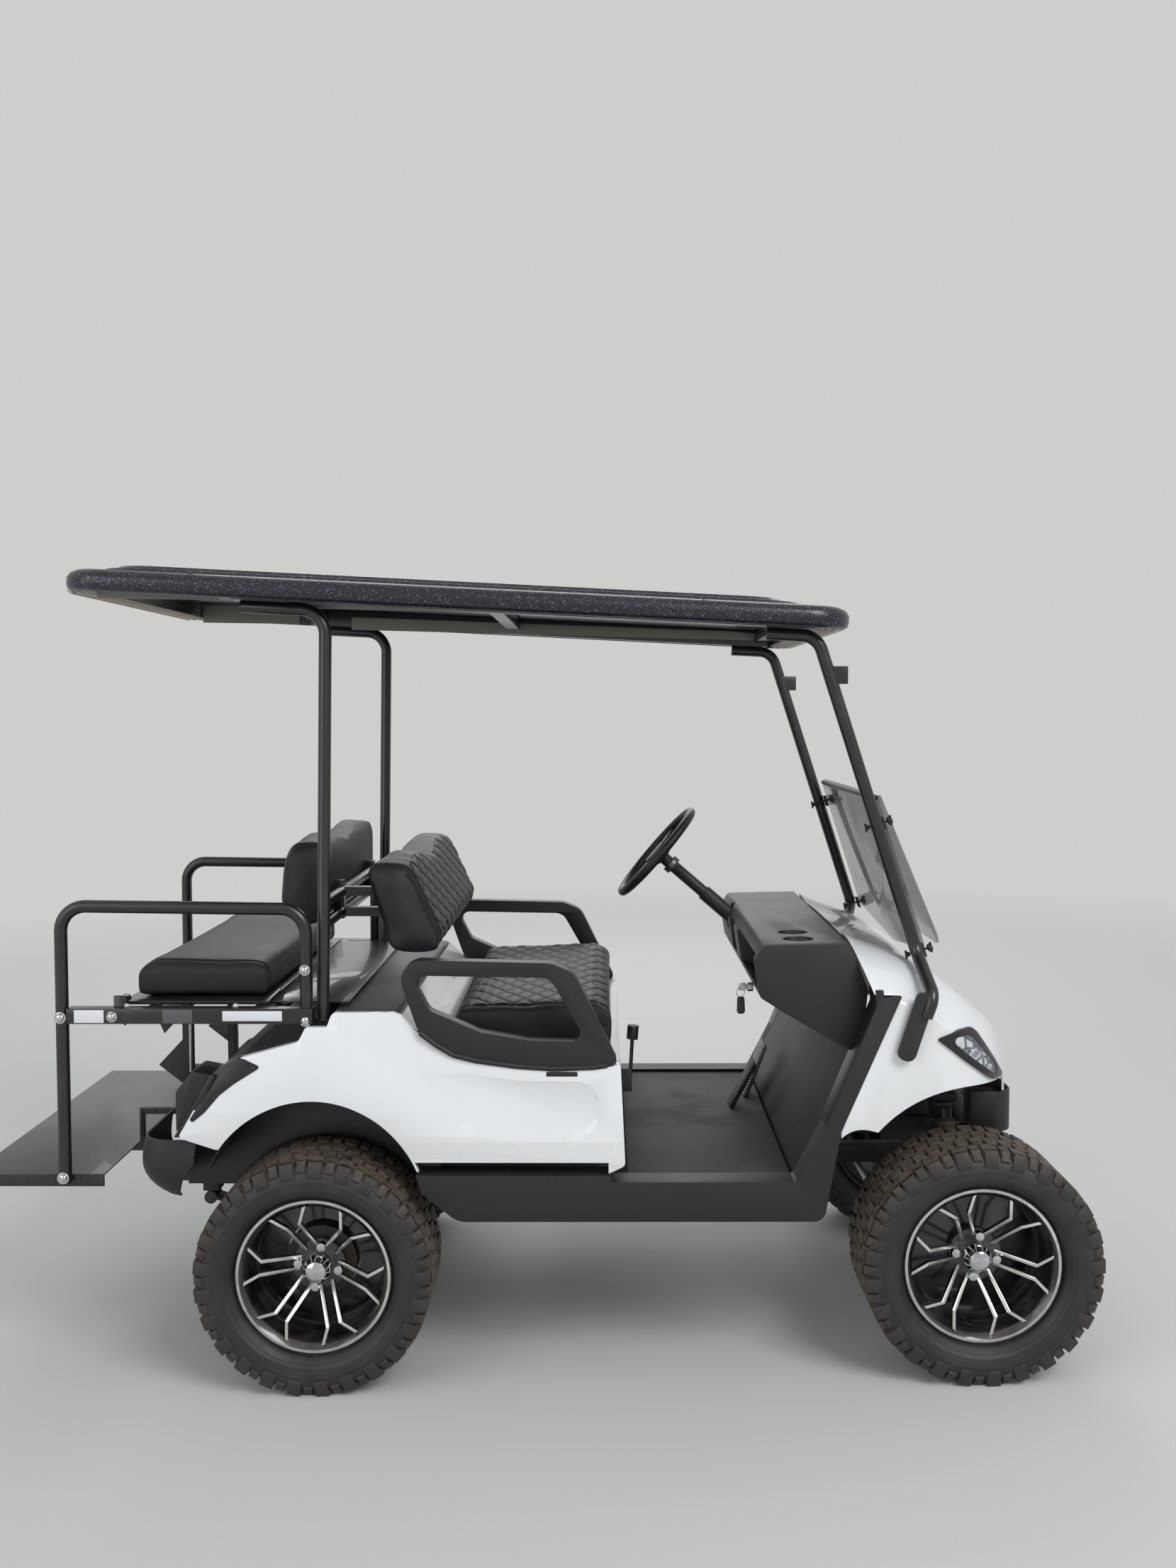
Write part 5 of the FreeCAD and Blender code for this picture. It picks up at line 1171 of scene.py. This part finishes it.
@dataclass
class ScreenKnobs(Assembly):
    """Through bolts of the screen's clips: a wing at the back and a knob in front."""
    clips: tuple = ((1417, 1102), (1521, 780))
    strut_low: tuple = (1509, 753)
    strut_high: tuple = (1256, 1541)
    across: float = 457.0
    # turned parts: two ends, each ahead of the clip and up the strut, then radius, rounding and facets
    turned: tuple = (
        ((-46, 0), (24, 0), 0.0032, 0.0004, 14),
        ((-46, 0), (-36, 0), 0.0065, 0.001, 18),
        ((-46, -11), (-43, 11), 0.0028, 0.0008, 12),
        ((12, 0), (24, 0), 0.0095, 0.002, 20),
        ((19, -13), (22, 13), 0.0034, 0.0008, 12),
    )

    def build(self) -> None:
        """Makes the knobs of both struts."""
        lean = Vector((self.strut_high[0] - self.strut_low[0], 0, self.strut_high[1] - self.strut_low[1]))
        lean.normalize()
        ahead = Vector((lean.z, 0, -lean.x))
        parts = []
        for way in WAYS:
            for x, z in self.clips:
                middle = Vector((x, way * self.across, z))
                for start, end, *sizes in self.turned:
                    ends = [spot(*(middle + ahead * forward + lean * up)) for forward, up in (start, end)]
                    parts.append(cylinder("turned", *ends, *sizes))
        self.finishes.deliver(joined("screen_knobs", parts), "grip_plastic", slot="black_plastic")


@dataclass
class RoofDetail(Assembly):
    """Liner boards inside the roof rails, ribbed end strips, seams and a drain boss."""
    # corners in x and z, then the inner and outer distance from the middle
    boards: tuple = (
        (((-552, 1668), (-246, 1663), (-246, 1716), (-552, 1724)), 470.0, 474.0),
        (((-80, 1644), (1214, 1606), (1214, 1626), (1120, 1636), (-80, 1684)), 463.5, 468.5),
    )
    # each strip's first rib, the height of its board's underside, and its half-width
    strips: tuple = ((-606, 1683, 505), (1256, 1589, 500))
    pitch: float = 19
    strip_outline: tuple = ((-10, 0), (50, -1), (50, 3), (-10, 4))
    rib_outline: tuple = ((-5, 1), (-3, -6), (3, -6), (5, 1))
    # each pair of seams: x, lower and upper height; then their gap, lean and distances from the middle
    seams: tuple = ((-302, 1700, 1730), (957, 1648, 1666))
    seam_gap: float = 7
    seam_lean: float = 3
    seam_reach: Flat = (559, 551)
    seam_radius: float = 0.0018
    # the drain's x, y and two heights, and its radius
    drain: tuple = (1300, 470, 1598, 1615)
    drain_radius: float = 0.009

    def build(self) -> None:
        """Makes the boards, the strips and the seams."""
        boards = [plate("board", outline, way * inner, way * (outer - inner), 0.001)
                  for way in WAYS for outline, inner, outer in self.boards]
        self.finishes.deliver(joined("roof_boards", boards), "roof_liner", slot="roof_paint")
        ribs = []
        for first, height, half in self.strips:
            rows = [(0, self.strip_outline, 0.0006)]
            rows += [(index * self.pitch, self.rib_outline, 0.001) for index in range(3)]
            for shift, outline, width in rows:
                corners = [(first + shift + x, height + z) for x, z in outline]
                ribs.append(plate("rib", corners, -half, 2 * half, width))
        self.finishes.deliver(joined("roof_strips", ribs), "end_liner", slot="roof_paint")
        marks = []
        x, y, low, high = self.drain
        outer, inner = self.seam_reach
        for way in WAYS:
            for seam, bottom, top in self.seams:
                for place in (seam, seam + self.seam_gap):
                    ends = spot(place, way * outer, bottom), spot(place + self.seam_lean, way * inner, top)
                    marks.append(cylinder("seam", *ends, self.seam_radius, 0.0003, 10))
            ends = spot(x, way * y, low), spot(x, way * y, high)
            marks.append(cylinder("drain", *ends, self.drain_radius, 0.002, 20))
        self.finishes.deliver(joined("roof_marks", marks), "roof_flake", slot="roof_paint")


@dataclass
class BodyTrim(Assembly):
    """Rear body and bumper, arch liners, screws, seals under the hip restraints, and the deck's stays."""
    # the seal's line and the tab on it: x and z in millimetres
    seal: tuple = ((262, 596), (300, 567), (343, 541), (400, 527), (500, 513), (591, 507), (690, 511),
                   (722, 516))
    seal_y: float = 585.0
    seal_radius: float = 0.0070
    tab: tuple = ((571, 489), (578, 482), (644, 482), (650, 489), (648, 500), (573, 500))
    # node that carries each screw, and its x and z
    screws: tuple = (("fine_tail_lamps", -150, 505), ("fine_rear_bumper", -306, 286))
    screw_radius: float = 0.006
    # the arch's black roof: its middle, radius and length, and the height where it ends
    arch_middle: tuple = (-6, 480, 150)
    arch_radius: float = 0.277
    arch_length: float = 0.188
    arch_foot: float = 256.0
    # flat pieces of the liners: corners in x and z, distance from the middle, thickness outwards, rounding
    flats: tuple = (
        # the wall that closes each rear arch
        (((-372, 153), (290, 153), (290, 290), (200, 395), (0, 440), (-200, 400), (-330, 310), (-372, 240)),
         386, -3, 0.001),
        # the joint between each lamp housing and its leaf
        (((-345, 338), (-252, 494), (-238, 494), (-310, 340)), 572, 27, 0.004),
        # the strip that closes the dashboard's end to the trim band
        (((1256, 368), (1378, 664), (1376, 702), (1396, 702), (1398, 684), (1267, 368)), 508, 85, 0.002),
    )
    # the rear bumper: levels that are cut in, the height that stands out most, how far the edges lie from
    # it, and how far the lower and the upper one tuck in
    levels: tuple = (186, 200, 215, 232, 250, 268, 286, 304)
    widest: float = 262.0
    edge: float = 90.0
    tuck: tuple = (0.046, 0.014)
    # two points of the line along which its lower front corner is cut away
    trim_line: tuple = ((-290, 276), (-362, 170))
    # the black deck under the rear seat: its half-width, least height and front end
    deck_half: float = 0.552
    deck_low: float = 0.5
    deck_front: float = 0.215
    # ends of each bright rod of the deck, and its radius
    rods: tuple = (
        ((-356, -400, 452), (-356, -400, 612), 0.0045), ((-182, -462, 612), (-108, -462, 680), 0.0035),
    )
    # corners of the deck's flat catch in x and z
    catch: tuple = ((-104, 640), (-96, 668), (-60, 676), (-33, 668), (-38, 642), (-70, 650))

    def body(self) -> None:
        """The white rear body, with the black deck behind the front seats."""
        piece = copy_of("rear_body", "fine_rear_body", 0.003)
        with editing(piece):
            for way in WAYS:
                cut((0.0, way * self.deck_half, 0.0), (0.0, 1.0, 0.0))
        back = SPRUNG.inverted()
        self.finishes.dress(piece, "white_paint", "trim_plastic")
        repaint(piece, 1, lambda m, n: abs(m.y) < self.deck_half and n.z > 0.35 and m.z > self.deck_low
                and (back @ m).x < self.deck_front)
        self.finishes.deliver(piece, "", "rear_body")

    def bumper(self) -> None:
        """The rear bumper: bulging walls whose lower corners taper."""
        piece = copy_of("rear_bumper", "fine_rear_bumper", 0.0, merge=False)
        turn = SPRUNG.to_3x3()
        (x0, z0), (x1, z1) = self.trim_line
        with editing(piece):
            for level in self.levels:
                cut(spot(0, 0, level), turn @ Vector((0.0, 0.0, 1.0)))
            cut(spot(x0, 0, z0), turn @ Vector((z0 - z1, 0.0, x1 - x0)), use_fill=True, clear_outer=True)
        back = SPRUNG.inverted()
        for vertex in piece.data.vertices:
            height = (back @ vertex.co).z * 1000.0 - self.widest
            inset = self.tuck[0 if height < 0 else 1] * min(1.0, abs(height) / self.edge) ** 2
            vertex.co.x += inset
            vertex.co.y -= math.copysign(inset, vertex.co.y)
        soften(piece, 0.003, angle=40.0)
        self.finishes.deliver(piece, "trim_plastic", "rear_bumper")

    def liners(self) -> None:
        """Black walls and roofs inside the rear arches, and the strips beside lamps and dashboard."""
        parts = []
        x, y, z = self.arch_middle
        for way in WAYS:
            parts += [plate("flat", outline, way * start, way * thick, width)
                      for outline, start, thick, width in self.flats]
            rest()
            bpy.ops.mesh.primitive_cylinder_add(vertices=96, radius=self.arch_radius, depth=self.arch_length,
                                                end_fill_type="NOTHING", location=spot(x, way * y, z),
                                                rotation=(math.pi / 2, 0.0, 0.0))
            roof = named("arch_roof")
            with editing(roof):
                cut(spot(0, 0, self.arch_foot), (0.0, 0.0, 1.0), clear_inner=True)
            modify(roof, "SOLIDIFY", thickness=0.0025, offset=1.0)
            soften(roof, 0.0, angle=30.0)
            parts.append(roof)
        self.finishes.deliver(joined("arch_liners", parts), "lamp_plastic", slot="black_plastic")

    def screw_heads(self) -> None:
        """Small domed screws on the tail lamps and the bumper, set on the surface they hold."""
        heads = []
        for name, x, z in self.screws:
            carrier = bpy.data.objects[name]
            for way in WAYS:
                hit, place, _, _ = carrier.ray_cast(spot(x, way * 900, z), Vector((0.0, -way, 0.0)))
                if not hit:
                    LOG.warning("no surface for the screw on %s", name)
                    continue
                rest()
                bpy.ops.mesh.primitive_uv_sphere_add(segments=20, ring_count=8, radius=self.screw_radius,
                                                     location=place, scale=(1.0, 0.45, 1.0))
                heads.append(named("screw"))
        if heads:
            screws = joined("trim_screws", heads)
            take(screws)
            bpy.ops.object.shade_smooth()
            self.finishes.deliver(screws, "lamp_plastic", slot="black_plastic")

    def build(self) -> None:
        """Makes the body, the bumper, the liners, the screws, the seals and the rods."""
        self.body()
        self.bumper()
        self.liners()
        self.screw_heads()
        seals = []
        for way in WAYS:
            line = [spot(x, way * self.seal_y, z) for x, z in self.seal]
            seals += [cylinder("seal", start, end, self.seal_radius, 0.0, 12)
                      for start, end in zip(line, line[1:])]
            seals.append(plate("tab", self.tab, way * (self.seal_y - 3), way * 6, 0.001))
        self.finishes.deliver(joined("seat_seals", seals), "trim_plastic", slot="black_plastic")
        metal = [cylinder("rod", spot(*start), spot(*end), radius, 0.0006, 16)
                 for start, end, radius in self.rods]
        metal.append(plate("catch", self.catch, -470, 30, 0.002))
        self.finishes.deliver(joined("deck_stays", metal), "zinc", slot="bare_steel")


@dataclass
class Fittings(Assembly):
    """Domed bolts and blank labels of the rear seat kit."""
    # x and z of each domed bolt on a side's outer face, its y and its radius, in millimetres
    bolts: tuple = (
        (-636, 626, 552, 11), (-506, 629, 555, 10), (-26, 745, 552, 10), (-26, 619, 552, 11),
        (-636, 222, 552, 11), (-470, 655, 548, 5), (-200, 655, 548, 5),
    )
    # x, z, length, height and finish of each blank label on the right-hand rail
    labels: tuple = (
        (-563, 630, 74, 32, "blank_label"), (-343, 630, 74, 34, "grey_label"),
        (-157, 631, 148, 25, "blank_label"),
    )
    label_y: float = -555.2
    # shares of a bolt's radius: the dome's height and lift, the washer's thickness and radius
    dome: float = 0.72
    lift: float = 0.15
    washer: Flat = (0.2, 1.35)

    def bolt(self, radius: float) -> Piece:
        """Makes a domed bolt head on its washer.

        Args:
            radius: the dome's radius in metres.

        Returns:
            The bolt, facing -Y from the origin.
        """
        rest()
        bpy.ops.mesh.primitive_uv_sphere_add(segments=20, ring_count=10, radius=radius)
        dome = named("bolt")
        for vertex in dome.data.vertices:
            vertex.co.y = min(vertex.co.y * self.dome, 0.0) - self.lift * radius
        thick, wide = self.washer
        washer = cylinder("washer", (0, 0.0002, 0), (0, -thick * radius, 0), radius * wide, 0.0005, 24)
        return joined("bolt", [dome, washer])

    def build(self) -> None:
        """Makes the bolts of both sides and the labels of the right."""
        parts = []
        for way in WAYS:
            turn = Matrix.Rotation(0.0 if way < 0 else math.pi, 4, "Z")
            for x, z, y, radius in self.bolts:
                pattern = self.bolt(radius / 1000.0)
                parts.append(again(pattern, Matrix.Translation(spot(x, way * y, z)) @ turn))
                discard(pattern)
        bolts = joined("kit_bolts", parts)
        take(bolts)
        bpy.ops.object.shade_smooth_by_angle(angle=math.radians(40))
        self.finishes.deliver(bolts, "chrome", slot="bare_steel")
        for index, (x, z, wide, tall, finish) in enumerate(self.labels):
            corners = [(x + a * wide / 2, z + b * tall / 2) for a, b in ((-1, -1), (1, -1), (1, 1), (-1, 1))]
            label = plate("label_%d" % index, corners, self.label_y, -0.9, 0.0006)
            self.finishes.deliver(label, finish, slot="body_paint")


@dataclass
class Studio:
    """Pale floor, soft lamps and the camera at the photograph's place."""
    camera_place: Point = (0.2135, -4.025, 1.655)
    yaw: float = -0.63
    pitch: float = 2.81
    roll: float = -1.17
    lens: float = 32.55
    sensor: float = 36.0
    # each lamp's place, watts, size and aim
    lamp_rows: tuple = (
        ((4.5, -6.0, 6.5), 430.0, 4.0, (0.0, 0.0, 0.7)),
        ((-5.0, -5.0, 3.5), 120.0, 5.0, (0.0, 0.0, 0.8)),
        ((0.0, 6.0, 5.0), 150.0, 5.0, (0.0, 0.0, 1.0)),
    )
    sky: Point = (0.86, 0.90, 0.96)
    sky_strength: float = 0.58
    floor_half: float = 30.0
    # distances from the middle between which the floor fades to the backdrop
    fade: Flat = (3.5, 10.0)
    floor_colour: Point = (0.62, 0.61, 0.59)
    backdrop: Point = (0.62, 0.62, 0.61)

    def seen(self, sheet: Nodes) -> Value:
        """1 for the rays of the camera, of glossy surfaces and of glass, and 0 for light."""
        path = sheet.node("ShaderNodeLightPath")
        camera, glossy, through = (Value(sheet, path.outputs[name]) for name in (
            "Is Camera Ray", "Is Glossy Ray", "Is Transmission Ray"))
        return (camera + glossy + through).least(1.0)

    def show_backdrop(self, sheet: Nodes, kind: str, share: Value, shader: bpy.types.Node,
                      output: str) -> None:
        """Mixes the backdrop's glow over a shader and feeds the output.

        Args:
            sheet: the material or the world's nodes.
            kind: the type of the glow's node.
            share: how much of the glow shows.
            shader: what shows elsewhere.
            output: the output node's name.
        """
        glow = sheet.node(kind, None, {"Color": self.backdrop, "Strength": 1.0})
        mix = sheet.node("ShaderNodeMixShader", None, {0: share, 1: shader.outputs[0], 2: glow.outputs[0]})
        sheet.join(sheet.tree.nodes[output].inputs["Surface"], mix.outputs[0])

    def floor(self) -> None:
        """A wide plain floor under the wheels."""
        rest()
        bpy.ops.mesh.primitive_plane_add(size=2 * self.floor_half)
        piece = named("floor")
        sheet = Nodes("pale_floor")
        sheet.put(Base_Color=self.floor_colour, Roughness=0.9)
        x, y = sheet.axis("X"), sheet.axis("Y")
        far = ((x * x + y * y) ** 0.5).fade(*self.fade)
        share = far * self.seen(sheet)
        self.show_backdrop(sheet, "ShaderNodeEmission", share, sheet.shader, "Material Output")
        piece.data.materials.append(sheet.material)

    def lamps(self) -> None:
        """A large key from the camera's right, a fill from the left and an even world."""
        for index, (place, watts, size, aim) in enumerate(self.lamp_rows):
            data = bpy.data.lights.new("lamp_%d" % index, "AREA")
            data.energy = watts
            data.size = size
            lamp = placed("lamp_%d" % index, data)
            lamp.location = place
            lamp.rotation_euler = (Vector(aim) - Vector(place)).to_track_quat("-Z", "Y").to_euler()
        world = bpy.data.worlds.new("pale_sky")
        bpy.context.scene.world = world
        world.use_nodes = True
        sheet = Nodes("sky_nodes", world)
        light = sheet.tree.nodes["Background"]
        sheet.join(light.inputs["Color"], self.sky)
        sheet.join(light.inputs["Strength"], self.sky_strength)
        self.show_backdrop(sheet, "ShaderNodeBackground", self.seen(sheet), light, "World Output")

    def camera(self) -> None:
        """The camera whose place and lens were fitted to the photograph."""
        data = bpy.data.cameras.new("photo_camera")
        data.sensor_fit = "VERTICAL"
        data.sensor_height = self.sensor
        data.lens = self.lens
        data.clip_end = 200.0
        camera = placed("photo_camera", data)
        yaw, pitch, roll = (math.radians(a) for a in (self.yaw, self.pitch, self.roll))
        ahead = Vector((math.sin(yaw) * math.cos(pitch), math.cos(yaw) * math.cos(pitch), -math.sin(pitch)))
        right = Vector((math.cos(yaw), -math.sin(yaw), 0.0))
        up = right.cross(ahead)
        across = right * math.cos(roll) + up * math.sin(roll)
        upright = up * math.cos(roll) - right * math.sin(roll)
        turn = Matrix((across, upright, -ahead)).transposed().to_4x4()
        camera.matrix_world = Matrix.Translation(self.camera_place) @ turn
        bpy.context.scene.camera = camera

    def build(self) -> None:
        """Sets the stage."""
        scene = bpy.context.scene
        scene.view_settings.view_transform = "Standard"
        self.floor()
        self.lamps()
        self.camera()


def main() -> None:
    """Builds the stage and every sub-assembly in order."""
    logging.basicConfig(level=logging.INFO, format="%(message)s")
    finishes = Finishes()
    Studio().build()
    for kind in (PlainNodes, Wheels, Pads, Lamps, Controls, ScreenKnobs, RoofDetail, BodyTrim, Fittings):
        kind(finishes).build()


if __name__ == "__main__":
    main()
